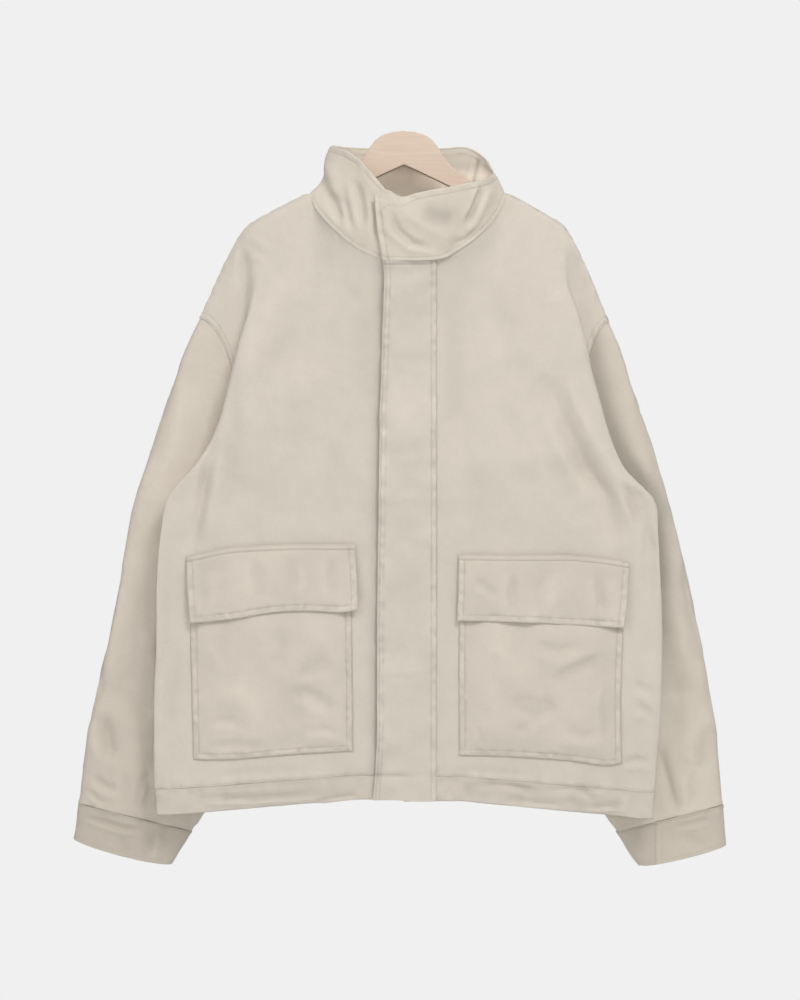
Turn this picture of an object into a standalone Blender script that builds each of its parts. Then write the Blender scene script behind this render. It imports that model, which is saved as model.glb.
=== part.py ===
"""A stand-collar field jacket hanging on a wooden hanger.

Metres, +Z up, the front facing -Y and the wearer's left at +X. The origin is the top of the
hanger's head, where its hook screws in. Tables are in millimetres. In them "out" is the
distance from the jacket's middle plane, "z" is the height and "y" the depth, with the front
negative. Every cloth piece is a grid of points on the garment's surface, given its thickness
by Solidify, so pieces that are sewn together share the points of their seam.
"""

import math

import bmesh
import bpy
from mathutils import Vector

# ---------------------------------------------------------------- driving sizes, millimetres
CLOTH = 1.5                 # thickness of the twill, turned edges included
DOUBLE = 2.4                # cuffs and collar are two layers
POCKET_CLOTH = 1.1
SEAM_GAP = 0.35             # clear space left between pieces that are sewn together
CORNER_GAP = 0.15           # more on each side near a corner where three pieces meet
COLLAR_GAP = 0.9            # the collar stands on the neck seam at an angle, so it needs more
UNDERARM_Z = -470.0
ROLL = 10.0                 # radius of the shoulder's roll over the hanger
SHOULDER_SEAM_TURN = {"right": 0.0, "left": 40.0}   # degrees forward of the ridge
FLY_GAP = 0.8               # clear space under the fly
FLY_LIFT = 1.2              # the free edge of the fly stands this much further off
POCKET_GAP = 0.6            # clear space under a pocket, and under its flap
FLAP_GAP = 1.6
HANGER_THICK = 11.0
HANGER_ROUND = 2.8          # rounding of its edges
HOOK_SOCKET_R = 2.5
HOOK_SOCKET_DEEP = 24.0

SIDES = {"right": -1.0, "left": 1.0}    # the wearer's side, and the sign of its x
ALL_EDGES = ("top", "bottom", "start", "end")
PIECES = []

# ---------------------------------------------------------------- tables, millimetres
# Neck seam, front and back, from the centre to the shoulder: out, z, y.
NECK_FRONT = {
    "columns": ("out", "z", "y"),
    "right": [(0, -164, -55), (27, -163, -54), (42, -156, -51), (66, -143, -44),
              (90, -121, -31), (102, -108, -23), (111, -96, -14), (119, -79, 0)],
    "left": [(0, -164, -55), (27, -164, -54), (51, -160, -50), (71, -148, -44),
             (92, -133, -35), (110, -114, -23), (121, -97, -13), (128, -80.3, -6.4)],
}
NECK_BACK = {
    "columns": ("out", "z", "y"),
    "right": [(0, -92, 36), (40, -92, 35), (75, -90, 30), (98, -87, 21), (112, -83, 10),
              (119, -79, 0)],
    "left": [(0, -92, 36), (40, -92, 35), (80, -90, 30), (105, -87, 20), (120, -84, 8),
             (128, -80.3, -6.4)],
}
# The ridge of the shoulder from the neck to the end of the hanger: out, z.
SHOULDER = {
    "columns": ("out", "z"),
    "right": [(119, -79), (140, -87.5), (155, -95), (169, -102.5), (180, -110), (190, -116),
              (198, -122.5)],
    "left": [(128, -78), (143, -84), (156, -91), (170, -99), (182, -107), (192, -115),
             (200, -121)],
}
# The edge of the front where it folds over the sleeve, then the side of the body: z, out.
FOLD = {
    "columns": ("z", "out"),
    "right": [(-122, 208), (-140, 200), (-169, 195), (-200, 197), (-217, 201), (-247, 208),
              (-290, 217), (-345, 230), (-379, 242), (-411, 260), (-442, 284), (-457, 296),
              (-470, 301), (-487, 304), (-526, 309), (-581, 311), (-649, 311), (-717, 314),
              (-786, 314), (-821, 313), (-860, 309)],
    "left": [(-122, 211), (-140, 208), (-165, 208), (-181, 213), (-217, 223), (-251, 230),
             (-275, 234), (-315, 244), (-360, 255), (-405, 270), (-430, 284), (-448, 302),
             (-460, 313), (-470, 317.5), (-500, 319.5), (-536, 321), (-626, 324), (-697, 323),
             (-751, 321), (-805, 316), (-865, 312)],
}
# How far the front lies before the hanger's plane, down its middle: z, y.
FRONT_DEPTH = [(-80, -14), (-165, -30), (-250, -37), (-350, -42), (-470, -46), (-650, -48),
               (-780, -47), (-870, -45)]
BACK_DEPTH = [(-80, 12), (-165, 24), (-250, 29), (-350, 33), (-470, 36), (-650, 38),
              (-870, 36)]
# The side seam, on the back of the body's folded edge: z, out, y.
SIDE_SEAM = {
    "columns": ("z", "out", "y"),
    "right": [(-460, 246, -3), (-467, 248, -9), (-475, 251, -14), (-490, 256, -17),
              (-540, 268, -20), (-600, 277, -21), (-700, 285, -21), (-786, 287, -21),
              (-860, 285, -21)],
    "left": [(-460, 262, -3), (-467, 264, -9), (-475, 267, -14), (-490, 272, -17),
             (-540, 283, -20), (-600, 291, -21), (-700, 295, -21), (-786, 292, -21),
             (-860, 289, -21)],
}
# Low down, the back's sides lie in to just behind that seam, from these distances and heights.
RECESS = {"behind_seam": 3.0, "from_out": 150.0, "to_out": 212.0, "from_z": -370.0,
          "to_z": -462.0}
# Horizontal lines of the body below the underarm: name, heights at the pocket's inner and
# outer edge on each side, and how many rows of faces lead down to it.
BODY_LINES = {
    "columns": ("name", "right_in", "right_out", "left_in", "left_out", "rows"),
    "rows": [("flap_top", -522, -528, -531, -541, 2), ("flap_end", -600, -614, -614, -623, 2),
             ("pocket_end", -777, -784, -783, -792, 4), ("hem_seam", -805, -821, -806, -824, 1),
             ("hem", -835, -853, -837, -857, 1)],
}
# Vertical lines of the front at the neck or shoulder and from the underarm down: out.
FRONT_LINES = {
    "columns": ("name", "top_right", "low_right", "top_left", "low_left", "columns_of_faces"),
    "rows": [("fly", 27, 27, 41, 41, 2), ("pocket_in", 56, 62, 64, 69, 2),
             ("neck_low", 84, 92, 92, 100, 1), ("neck_side", 112.5, 130, 120, 138, 1),
             ("neck", 119, 150, 128, 158, 1), ("pocket_out", None, 266, None, 274, 3),
             ("roll", None, None, None, None, 1)],
}
NECK_MARK = 5               # place of the neck's line among the front's lines, the middle being 0
BACK_NECK = (.38, .68, .88)  # the back's columns under its neck, as shares of the neck's width
BACK_COUNTS = (3, 1)        # and its columns of faces from there to the roll at its side
ROLL_WIDTH = 19.0           # from the front's flat to its folded edge
TOP_ROLL_WIDTH = 9.0        # and at the shoulder
BACK_ROLL_WIDTH = 22.0      # from the back's flat to the armhole
BACK_SIDE_WIDTH = 14.0      # and to the side seam
SHOULDER_END = 190.0        # the last distance at which the shoulder's height is read
BEYOND_POCKETS = 300.0      # a distance past which the body's horizontal lines are level
HANG_DROP = 75.0            # below a seam, cloth nears its full depth over this height
STRIP_FACES = 5             # columns of faces that turn round the fold to the seam
# Rows down the armhole, as shares of its height. The first ones roll over the shoulder.
ROLL_SHARE = .035
BELOW_ROLL = [.08, .15, .24, .34, .45, .56, .67, .77, .86, .94, .98, 1]
ARM_SHARES_FRONT = [0, .009, .018, .027, ROLL_SHARE] + BELOW_ROLL
ARM_SHARES_BACK = [0, .007, .014, .021, .028, ROLL_SHARE] + BELOW_ROLL
# Sleeve: its outer folded edge, its inner one behind the body, and how far it swells.
SLEEVE_OUTER = {
    "columns": ("z", "out"),
    "right": [(-235, 256), (-269, 271), (-306, 284), (-344, 299), (-381, 310), (-419, 322),
              (-456, 332), (-494, 344), (-531, 351), (-606, 365), (-681, 380), (-756, 395),
              (-831, 407), (-843, 408)],
    "left": [(-240, 257), (-269, 269), (-306, 281), (-344, 295), (-381, 307), (-419, 318),
             (-456, 329), (-494, 339), (-531, 348), (-606, 364), (-681, 379), (-756, 391),
             (-831, 399), (-845, 400)],
}
SLEEVE_INNER = {
    "columns": ("share", "out", "z", "y"),
    "rows": [(0, 246, -460, -3), (.04, 252, -463, 1), (.08, 256, -468, 4),
             (.14, 258, -480, 7), (.22, 257, -504, 10), (.32, 254, -537, 12), (.4, 250, -563, 14),
             (.5, 245, -603, 16), (.6, 240, -655, 16), (.7, 236, -714, 16), (.8, 235, -773, 15),
             (.9, 239, -829, 13), (.95, 248, -853, 12), (1, 266, -878, 11)],
}
SLEEVE_DEPTH = {
    "columns": ("share", "outer_y", "front", "back"),
    "rows": [(0, 2, 5, 20), (.04, 4, 5, 21), (.1, 8, 9, 22), (.3, 15, 17, 23), (.5, 15, 21, 22),
             (.7, 15, 22, 22), (.9, 13, 21, 21), (1, 12, 18, 18)],
}
FOLD_RADIUS = 9.0           # the sleeve's outer fold is at least this round
ARMHOLE_BOW = {"right": 43.0, "left": 35.0}     # the armhole curves in toward the middle by this
BOW_REACH = .32                                 # share of the sleeve over which that fades
SLEEVE_SHARES = [0, .03, .07, .13, .22, .32, .42, .52, .62, .72, .82, .91, 1]
# Cuff: outer and inner corners of its sewn edge and of its open edge: out, z.
CUFF = {
    "columns": ("edge", "outer_out", "outer_z", "inner_out", "inner_z", "middle_drop"),
    "right": [("sewn", 409, -845, 270, -881, 0), ("open", 414, -887, 291, -918, 6)],
    "left": [("sewn", 401, -847, 263, -880, 0), ("open", 404, -895, 294, -921, 4)],
}
CUFF_DEPTH = 18.0
CUFF_ROWS = (0.0, 0.12, 0.55, 1.0)
# Collar: for points along the neck seam, the place of its top edge.
COLLAR_TOP = {
    "columns": ("seam_out", "out", "y", "z"),
    "front_right": [(0, -4, -52, -88), (27, 20, -50, -78), (42, 32, -47, -65),
                    (60, 45, -41, -50), (79, 58, -33, -36), (96, 72, -22, -26),
                    (111, 84, -12, -21), (119, 91, 0, -19)],
    "front_left": [(0, -4, -54, -86), (27, 21, -53, -80), (51, 45, -49, -75), (74, 65, -43, -71),
                   (95, 85, -34, -66), (112, 101, -22, -61), (121, 109, -12, -57),
                   (128, 112, -2, -53)],
    "back_right": [(0, 0, 35, -22), (40, 37, 34, -22), (75, 68, 30, -21), (98, 84, 21, -20),
                   (112, 91, 10, -19), (119, 91, 0, -19)],
    "back_left": [(0, 0, 35, -22), (40, 38, 34, -22), (80, 76, 31, -21), (105, 96, 22, -28),
                  (120, 107, 10, -43), (128, 112, -2, -53)],
}
COLLAR_LAP_X = [-14.0, -27.0]           # seam points of the overlapping end, past the centre
COLLAR_LAP_TOP = [(-21, -54, -77.5), (-37, -52, -85)]
COLLAR_LAP_LIFT = 4.6                   # it stands this far off the end under it
COLLAR_LAP_BLEND = 3                    # columns over which that starts
COLLAR_ROWS = 5
# How far the collar stands out of a straight line between its seam and its top, by direction.
COLLAR_SWELL = {"front": 4.0, "back": 3.0, "right": -10.0, "left": -1.5}
# Largest folds of the front: from x, z to x, z, half width, and height (ridge + or trough -).
FRONT_FOLDS = [
    ("armpit crease right", -236, -392, -270, -524, 9, -5),
    ("armpit crease left", 176, -315, 264, -508, 16, -8),
    ("second crease left", 285, -450, 311, -530, 10, -4),
    ("chest swell right", -150, -300, -190, -440, 60, 5),
    ("chest swell left", 150, -260, 190, -420, 60, 5),
    ("fly side swell", 62, -330, 66, -700, 20, -3),
    ("hem swell right", -210, -700, -150, -830, 45, 3),
    ("hem swell left", 250, -700, 200, -830, 45, 3),
]
BACK_FOLDS = [
    ("back pleat right", -95, -260, -125, -800, 34, -6),
    ("back pleat left", 100, -280, 118, -800, 34, -6),
    ("back middle", 0, -300, 6, -820, 45, 4),
    ("back armhole right", -150, -330, -226, -430, 18, -5),
    ("back armhole left", 150, -330, 236, -430, 18, -5),
]
SLEEVE_FOLDS = [
    ("elbow right", -395, -690, -320, -735, 18, -5),
    ("elbow left", 330, -700, 392, -716, 18, -5),
    ("cuff pleat right", -318, -800, -332, -848, 7, -4),
    ("cuff pleat left", 322, -780, 342, -852, 7, -4),
    ("upper sleeve right", -300, -420, -350, -560, 16, 3),
    ("upper sleeve left", 300, -420, 345, -560, 16, 3),
]
# Half outline of the hanger, from the top of its head round the arm and back to the middle.
HANGER = [(0, 0), (14, -1.5), (27, -5.5), (36, -12), (43, -21), (50, -33), (60, -45), (84, -63),
          (104, -81.5), (122, -94), (140, -102), (160, -110.5), (180, -120.5), (195, -131.5),
          (200, -137), (199, -145), (193, -148), (180, -141), (160, -130), (119, -107),
          (62, -72.5), (20, -52), (0, -43)]

COLOURS = {
    "twill": ((0.66, 0.60, 0.51, 1.0), 0.9),
    "wood": ((0.68, 0.51, 0.38, 1.0), 0.5),
}


# ---------------------------------------------------------------- small helpers
def smooth(rows, key, column):
    """The column's value at a key, on a curve through the rows that never overshoots them."""
    keys = [row[0] for row in rows]
    if keys[0] > keys[-1]:
        rows, keys = rows[::-1], keys[::-1]
    values = [row[column] for row in rows]
    if key <= keys[0]:
        return values[0]
    if key >= keys[-1]:
        return values[-1]
    slopes = [(values[i + 1] - values[i]) / (keys[i + 1] - keys[i]) for i in range(len(keys) - 1)]
    i = max(n for n in range(len(keys) - 1) if keys[n] <= key)

    def tangent(n):
        if n == 0 or n == len(slopes):
            return slopes[min(n, len(slopes) - 1)]
        before, after = slopes[n - 1], slopes[n]
        return 0.0 if before * after <= 0 else 2 * before * after / (before + after)

    span = keys[i + 1] - keys[i]
    s = (key - keys[i]) / span
    start, end = tangent(i) * span, tangent(i + 1) * span
    rise = values[i + 1] - values[i]
    return values[i] + s * (start + s * (3 * rise - 2 * start - end + s * (start + end - 2 * rise)))


def mix(a, b, share):
    return a + (b - a) * share


def ease(share):
    share = min(1.0, max(0.0, share))
    return share * share * (3 - 2 * share)


def bezier(a, b, c, d, s):
    r = 1 - s
    return a * r ** 3 + b * 3 * r * r * s + c * 3 * r * s * s + d * s ** 3


def relief(folds, x, z):
    """Height that the folds add at a place: each is a soft ridge or trough along a line."""
    height = 0.0
    for _, x1, z1, x2, z2, half, tall in folds:
        along = Vector((x2 - x1, z2 - z1))
        place = Vector((x - x1, z - z1))
        share = place.dot(along) / along.length_squared
        inside = min(1.0, max(0.0, share))
        away = (place - along * inside).length
        fade = ease((1.25 - abs(2 * share - 1)) / 0.5) if abs(2 * share - 1) < 1.25 else 0.0
        height += tall * math.exp(-(away / half) ** 2) * fade
    return height


def divided(marks, counts):
    """Values from each mark to the next in that many equal steps, both ends included."""
    values = [marks[0]]
    for start, end, count in zip(marks, marks[1:], counts):
        values += [mix(start, end, (n + 1) / count) for n in range(count)]
    return values


# ---------------------------------------------------------------- the sleeve's surface
def sleeve_point(side, along, around, front):
    """A point of the sleeve: along it from the armhole, and around from its outer fold (0) to
    its inner one (1), over the front or over the back."""
    outer_rows = SLEEVE_OUTER[side]
    z = mix(outer_rows[0][0], outer_rows[-1][0], along)
    depths = SLEEVE_DEPTH["rows"]
    outer = Vector((smooth(outer_rows, z, 1), smooth(depths, along, 1), z))
    rows = SLEEVE_INNER["rows"]
    shift = (SIDE_SEAM[side][0][1] - rows[0][1]) * (1 - ease(along))
    inner = Vector((smooth(rows, along, 1) + shift, smooth(rows, along, 3),
                    smooth(rows, along, 2)))
    rise = math.sin(math.pi * around)
    bow, swell = (rise ** 1.2, rise ** 0.5) if around < 0.5 else (rise ** 2, rise ** 0.75)
    point = outer.lerp(inner, (1 - math.cos(math.pi * around)) / 2)
    point.x -= ARMHOLE_BOW[side] * (1 - min(1.0, along / BOW_REACH)) ** 2 * bow
    deep_front = smooth(depths, along, 2)
    deep_front = mix(max(FOLD_RADIUS, deep_front), deep_front, ease(2 * around))
    point.y += (-deep_front if front else smooth(depths, along, 3)) * swell
    return point


def turn_of(share):
    """How far around the sleeve a row of the armhole lies, by its share of the height."""
    return math.acos(1 - 2 * share) / math.pi


def armhole_seam(side, share, front):
    return sleeve_point(side, 0.0, turn_of(share), front)


# ---------------------------------------------------------------- the body's surface
def column(table, name, side):
    """A FRONT_LINES row's top and low distance on a side."""
    row = next(r for r in FRONT_LINES["rows"] if r[0] == name)
    names = FRONT_LINES["columns"]
    return row[names.index("top_" + side)], row[names.index("low_" + side)]


def top_height(out, side, neck):
    """Height of the neck seam or shoulder ridge at a distance from the middle."""
    edge = neck[side][-1][0]
    if out <= edge:
        return smooth(neck[side], out, 1)
    return smooth(SHOULDER[side], out, 1)


def fold_out(z, side):
    return smooth(FOLD[side], z, 1)


def front_marks(share, side):
    """Distances of the front's vertical lines on the row at that share of the armhole."""
    part = ease(share) if share < 1 else 1.0
    top_roll = SHOULDER[side][-1][0] - 1.0
    z_roll = mix(top_height(top_roll, side, NECK_FRONT), UNDERARM_Z, share)
    roll = fold_out(z_roll, side) - mix(TOP_ROLL_WIDTH, ROLL_WIDTH, min(1.0, share / 0.15))
    marks = [0.0]
    for name in ("fly", "pocket_in", "neck_low", "neck_side", "neck"):
        top, low = column(FRONT_LINES, name, side)
        marks.append(mix(top, low, part))
    neck = marks[NECK_MARK]
    low_pocket = column(FRONT_LINES, "pocket_out", side)[1]
    low_roll = fold_out(UNDERARM_Z, side) - ROLL_WIDTH
    far_ratio = (low_pocket - column(FRONT_LINES, "neck", side)[1]) / (
        low_roll - column(FRONT_LINES, "neck", side)[1])
    ratio = mix(0.62, far_ratio, share ** 2)
    marks += [mix(neck, roll, ratio), roll]
    return marks


def line_height(name, side, out):
    """Height of one of the body's horizontal lines at a distance from the middle."""
    names = BODY_LINES["columns"]
    row = next(r for r in BODY_LINES["rows"] if r[0] == name)
    inner, outer = row[names.index(side + "_in")], row[names.index(side + "_out")]
    near = column(FRONT_LINES, "pocket_in", side)[1]
    far = column(FRONT_LINES, "pocket_out", side)[1]
    centre = -1.0 if name.startswith("hem") else 0.0
    share = (out - near) / (far - near)
    if share < 0:
        return inner - centre * share * 2.0
    return mix(inner, outer, min(1.15, share))


def main_depth(side, out, z, drop, top_y, on_shoulder, front):
    """Depth of a panel's flat part: it leaves the seam above it and hangs to its full depth."""
    full = smooth(FRONT_DEPTH if front else BACK_DEPTH, z, 1)
    flatter = 1 - 0.12 * (out / 300) ** 2
    share = 1 - math.exp(-max(0.0, drop) / HANG_DROP)
    if on_shoulder:
        top_y = -ROLL if front else ROLL
        share = 1 - math.exp(-max(0.0, drop - ROLL) / HANG_DROP)
    y = mix(top_y, full * flatter, share)
    if not front:
        into = ease((out - RECESS["from_out"]) / (RECESS["to_out"] - RECESS["from_out"]))
        below = ease((RECESS["from_z"] - z) / (RECESS["from_z"] - RECESS["to_z"]))
        y = mix(y, smooth(SIDE_SEAM[side], z, 2) + RECESS["behind_seam"], into * below)
    return y


def roll_angles(shares, side, front):
    """Angles round the shoulder's roll for the rows that lie on it, in degrees."""
    start = SHOULDER_SEAM_TURN[side] if front else -SHOULDER_SEAM_TURN[side]
    last = shares.index(ROLL_SHARE)
    return [mix(start, 90.0, n / last) for n in range(last + 1)]


def back_neck(edge):
    return [0.0] + [edge * share for share in BACK_NECK]


def panel_columns(side, share, front):
    """Distances of every column of a panel on one armhole row, up to the roll."""
    counts = [row[-1] for row in FRONT_LINES["rows"]]
    if front:
        return divided(front_marks(share, side), counts)
    marks = front_marks(share, side)
    seam = armhole_seam(side, share, front).x
    roll = mix(front_marks(0.0, side)[-1], seam - BACK_ROLL_WIDTH, ease(share / 0.1))
    neck = marks[NECK_MARK]
    middle = mix(marks[NECK_MARK + 1], mix(neck, roll, 0.6), ease(share / 0.1))
    return back_neck(neck) + divided([neck, middle, roll], BACK_COUNTS)


def strip(start, end, turn, share, front):
    """Points from the roll to the seam, past the start: the front turns back at its fold."""
    if front:
        first = Vector((mix(start.x, turn, 1.2), start.y - 1.0, mix(start.z, end.z, 0.15)))
        behind = Vector((turn + 7, mix(start.y, end.y, 0.1), mix(start.z, end.z, 0.7)))
        beside = Vector((turn - 5, end.y - 1.0, mix(start.z, end.z, 0.5)))
        second = behind.lerp(beside, ease((end.x - turn + 4) / 30))
    else:
        lean = (end - start) / 3
        first, second = start + Vector((lean.x, 0, lean.z)), end - lean
    ridge = ease(1 - share / 0.06)
    over = Vector((mix(start.x, end.x, 0.22), start.y, mix(start.z, end.z, 0.1)))
    down = Vector((mix(start.x, end.x, 0.68), end.y, mix(start.z, end.z, 0.62)))
    first, second = first.lerp(over, ridge), second.lerp(down, ridge)
    return [bezier(start, first, second, end, n / STRIP_FACES) for n in range(1, STRIP_FACES + 1)]


def armhole_rows(side, front):
    """Rows of surface points (out, y, z) from the neck and shoulder down to the underarm."""
    shares = ARM_SHARES_FRONT if front else ARM_SHARES_BACK
    neck = NECK_FRONT if front else NECK_BACK
    angles = roll_angles(shares, side, front)
    tops = panel_columns(side, 0.0, front)
    neck_edge = neck[side][-1][0] - 0.01
    rows = []
    for number, share in enumerate(shares):
        row = []
        for out, top_out in zip(panel_columns(side, share, front), tops):
            shoulder = top_out > neck_edge
            top = smooth(SHOULDER[side] if shoulder else neck[side], top_out, 1)
            if number < len(angles):
                angle = math.radians(angles[number])
                drop = ROLL * (1 - math.cos(angle))
                if shoulder:
                    y = (-ROLL if front else ROLL) * math.sin(angle)
                    row.append(Vector((out, y, top - drop)))
                    continue
                drop = max(0.0, share) * (top - UNDERARM_Z)
            else:
                drop = share * (top - UNDERARM_Z)
            z = top - drop
            top_y = smooth(neck[side], top_out, 2)
            y = main_depth(side, out, z, drop, top_y, shoulder, front)
            row.append(Vector((out, y, z)))
        start = row[-1]
        end = armhole_seam(side, share, front)
        turn = fold_out(start.z, side)
        rows.append(row + strip(start, end, turn, share, front))
    return rows


def lower_row(side, front, before, name, share):
    """Surface points at a share of the way from one of the body's horizontal lines to the next."""
    def height(line, out):
        return UNDERARM_Z if line == "underarm" else line_height(line, side, out)

    seam = SIDE_SEAM[side]
    seam_start = seam[0][0] if before == "underarm" else height(before, BEYOND_POCKETS)
    seam_z = mix(seam_start, height(name, BEYOND_POCKETS), share)
    end = Vector((smooth(seam, seam_z, 1), smooth(seam, seam_z, 2), seam_z))
    edge_z = mix(height(before, BEYOND_POCKETS), height(name, BEYOND_POCKETS), share)
    edge = fold_out(edge_z, side)
    row = []
    for out, level_out in zip(body_columns(side, front, edge, end.x), body_columns(side, front)):
        z = mix(height(before, level_out), height(name, level_out), share)
        drop = top_height(min(out, SHOULDER_END), side, NECK_FRONT) - z
        row.append(Vector((out, main_depth(side, out, z, drop, 0.0, False, front), z)))
    return row + strip(row[-1], end, edge, 1.0, front)


def lower_rows(side, front, first, last):
    """Rows of surface points from one of the body's horizontal lines down to another."""
    lines = [("underarm", 0)] + [(row[0], row[-1]) for row in BODY_LINES["rows"]]
    names = [name for name, _ in lines]
    lines = lines[names.index(first):names.index(last) + 1]
    rows = [lower_row(side, front, first, lines[1][0], 0.0)]
    for (before, _), (name, count) in zip(lines, lines[1:]):
        rows += [lower_row(side, front, before, name, (n + 1) / count) for n in range(count)]
    return rows


def body_columns(side, front, edge=None, seam_out=None):
    """Distances of every column of a panel below the underarm, up to the roll. With no place
    given for the folded edge and the side seam, they are those at the underarm."""
    marks = front_marks(1.0, side)
    if edge is None:
        edge, seam_out = marks[-1] + ROLL_WIDTH, SIDE_SEAM[side][0][1]
    if front:
        counts = [row[-1] for row in FRONT_LINES["rows"]]
        return divided(marks[:-1] + [edge - ROLL_WIDTH], counts)
    roll = seam_out - BACK_SIDE_WIDTH
    neck = marks[NECK_MARK]
    return back_neck(neck) + divided([neck, mix(neck, roll, 0.6), roll], BACK_COUNTS)


def with_folds(rows, side, front):
    """The rows in real places: x signed by the side, and the folds raised from the surface."""
    sign = SIDES[side]
    folds = FRONT_FOLDS if front else BACK_FOLDS
    forward = -1.0 if front else 1.0
    placed = []
    for row in rows:
        line = []
        for n, point in enumerate(row):
            free = 1.0 if n < len(row) - STRIP_FACES else 0.0
            free *= ease((-130 - point.z) / 60)
            lift = free * relief(folds, sign * point.x, point.z)
            line.append(Vector((sign * point.x, point.y + forward * lift, point.z)))
        placed.append(line)
    return placed


def panel_rows(side, front):
    """(rows of a panel down to the hem seam, rows of its hem band)."""
    upper = armhole_rows(side, front)
    lower = lower_rows(side, front, "underarm", "hem_seam")
    blended = upper[:-1] + lower
    band = lower_rows(side, front, "hem_seam", "hem")
    return with_folds(blended, side, front), with_folds(band, side, front)


# ---------------------------------------------------------------- meshes
def material(name):
    found = bpy.data.materials.get(name)
    if found:
        return found
    made = bpy.data.materials.new(name)
    made.use_nodes = True
    shader = made.node_tree.nodes["Principled BSDF"]
    colour, rough = COLOURS[name]
    shader.inputs["Base Color"].default_value = colour
    shader.inputs["Roughness"].default_value = rough
    return made


def link(obj):
    bpy.data.collections["field_jacket"].objects.link(obj)
    return obj


def surface(rows, outward, ring=False):
    """An open grid of faces on points in mm, turned so that its normals point outward."""
    down, across = len(rows) - 1, len(rows[0]) - 1
    work = bmesh.new()
    bmesh.ops.create_grid(work, x_segments=across, y_segments=down, size=1.0)
    for vert in work.verts:
        i = round((vert.co.x + 1) / 2 * across)
        j = round((vert.co.y + 1) / 2 * down)
        vert.co = rows[j][i]
    if ring:
        bmesh.ops.remove_doubles(work, verts=work.verts, dist=0.01)
    work.normal_update()
    facing = sum(f.normal.dot(outward(f.calc_center_median())) * f.calc_area() for f in work.faces)
    if facing < 0:
        bmesh.ops.reverse_faces(work, faces=work.faces)
    work.normal_update()
    return work


def spot(point):
    return tuple(round(value, 2) for value in point)


def normals_of(piece):
    """The surface's normal at each of a piece's points."""
    work = surface(piece["rows"], piece["outward"], piece["ring"])
    found = {spot(v.co): v.normal.copy() for v in work.verts}
    work.free()
    return found


def corners():
    """The points where three pieces meet: the neck's end of each shoulder, and each underarm."""
    found = []
    for side, sign in SIDES.items():
        out, z, y = NECK_FRONT[side][-1]
        found.append(Vector((sign * out, y, z)))
        z, out, y = SIDE_SEAM[side][0]
        found.append(Vector((sign * out, y, z)))
    return found


def edge_lines(rows, edges):
    """(points of a sewn edge, the points next inside them) for each named edge."""
    found = {"top": (rows[0], rows[1]), "bottom": (rows[-1], rows[-2]),
             "start": ([r[0] for r in rows], [r[1] for r in rows]),
             "end": ([r[-1] for r in rows], [r[-2] for r in rows])}
    return [found[edge] for edge in edges]


def drawn_in(piece, own, shared):
    """The piece's rows with each sewn edge drawn in, so that the walls either side stay apart."""
    source = piece["rows"]
    rows = [[p.copy() for p in row] for row in source]
    meeting = corners()
    for line, (points, inside) in zip(edge_lines(rows, piece["edges"]),
                                      edge_lines(source, piece["edges"])):
        last = len(points) - 1
        for n, (moved, point, inner) in enumerate(zip(line[0], points, inside)):
            before, after = points[max(n - 1, 0)], points[min(n + 1, last)]
            if piece["ring"] and n in (0, last):
                before, after = points[-2], points[1]
            common = shared[spot(point)].normalized()
            along = common.cross(after - before).normalized()
            if along.dot(inner - point) < 0:
                along = -along
            beyond = max(0.0, piece["thick"] * own[spot(point)].dot(along))
            crowd = max(0.0, 1 - min((point - corner).length for corner in meeting) / 20)
            moved += along * (SEAM_GAP / 2 + beyond + CORNER_GAP * crowd)
    return rows


def cloth(name, rows, thick, outward, edges=(), ring=False, lift=0.0):
    """Notes down a wall of cloth whose outer face is on a grid of points, or lifted off it."""
    PIECES.append({"name": name, "rows": rows, "thick": thick, "outward": outward,
                   "edges": edges, "ring": ring, "lift": lift})


def make_pieces():
    """Makes every noted wall. Pieces that share the points of a seam share its direction."""
    normals = [normals_of(piece) for piece in PIECES]
    shared = {}
    for piece, own in zip(PIECES, normals):
        for place, normal in own.items():
            if piece["edges"]:
                shared[place] = shared.get(place, Vector()) + normal
    for piece, own in zip(PIECES, normals):
        rows = drawn_in(piece, own, shared) if piece["edges"] else piece["rows"]
        work = surface(rows, piece["outward"], piece["ring"])
        moved = [(v, v.co + v.normal * piece["lift"]) for v in work.verts]
        for vert, place in moved:
            vert.co = place / 1000
        mesh = bpy.data.meshes.new(piece["name"])
        work.to_mesh(mesh)
        work.free()
        obj = link(bpy.data.objects.new(piece["name"], mesh))
        wall = obj.modifiers.new("wall", "SOLIDIFY")
        wall.thickness = piece["thick"] / 1000
        wall.offset = -1.0
        wall.use_even_offset = False
        mesh.materials.append(material("twill"))
        mesh.shade_smooth()


def forwards(_):
    return Vector((0, -1, 0))


def backwards(_):
    return Vector((0, 1, 0))


# ---------------------------------------------------------------- the pieces
def fronts_and_hems(rows):
    for side in SIDES:
        panel, band = rows["front", side]
        cloth("front_" + side, panel, CLOTH, forwards, ALL_EDGES)
        cloth("hem_" + side, band, CLOTH, forwards, ("top", "start", "end"))


def across_back(right, left):
    """One set of rows from the wearer's right edge over the middle to the left edge."""
    return [r[::-1] + l[1:] for r, l in zip(right, left)]


def back_and_hem(rows):
    (panel_r, band_r), (panel_l, band_l) = rows["back", "right"], rows["back", "left"]
    cloth("back", across_back(panel_r, panel_l), CLOTH, backwards, ALL_EDGES)
    cloth("hem_back", across_back(band_r, band_l), CLOTH, backwards, ("top", "start", "end"))


def column_index(name):
    """Index of a vertical line among a front's columns."""
    total = 0
    for row in FRONT_LINES["rows"]:
        total += row[-1]
        if row[0] == name:
            return total
    return 0


def row_index(name):
    """Index of a horizontal line among a front's rows."""
    total = len(ARM_SHARES_FRONT) - 1
    for row in BODY_LINES["rows"]:
        total += row[-1]
        if row[0] == name:
            return total
    return 0


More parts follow.
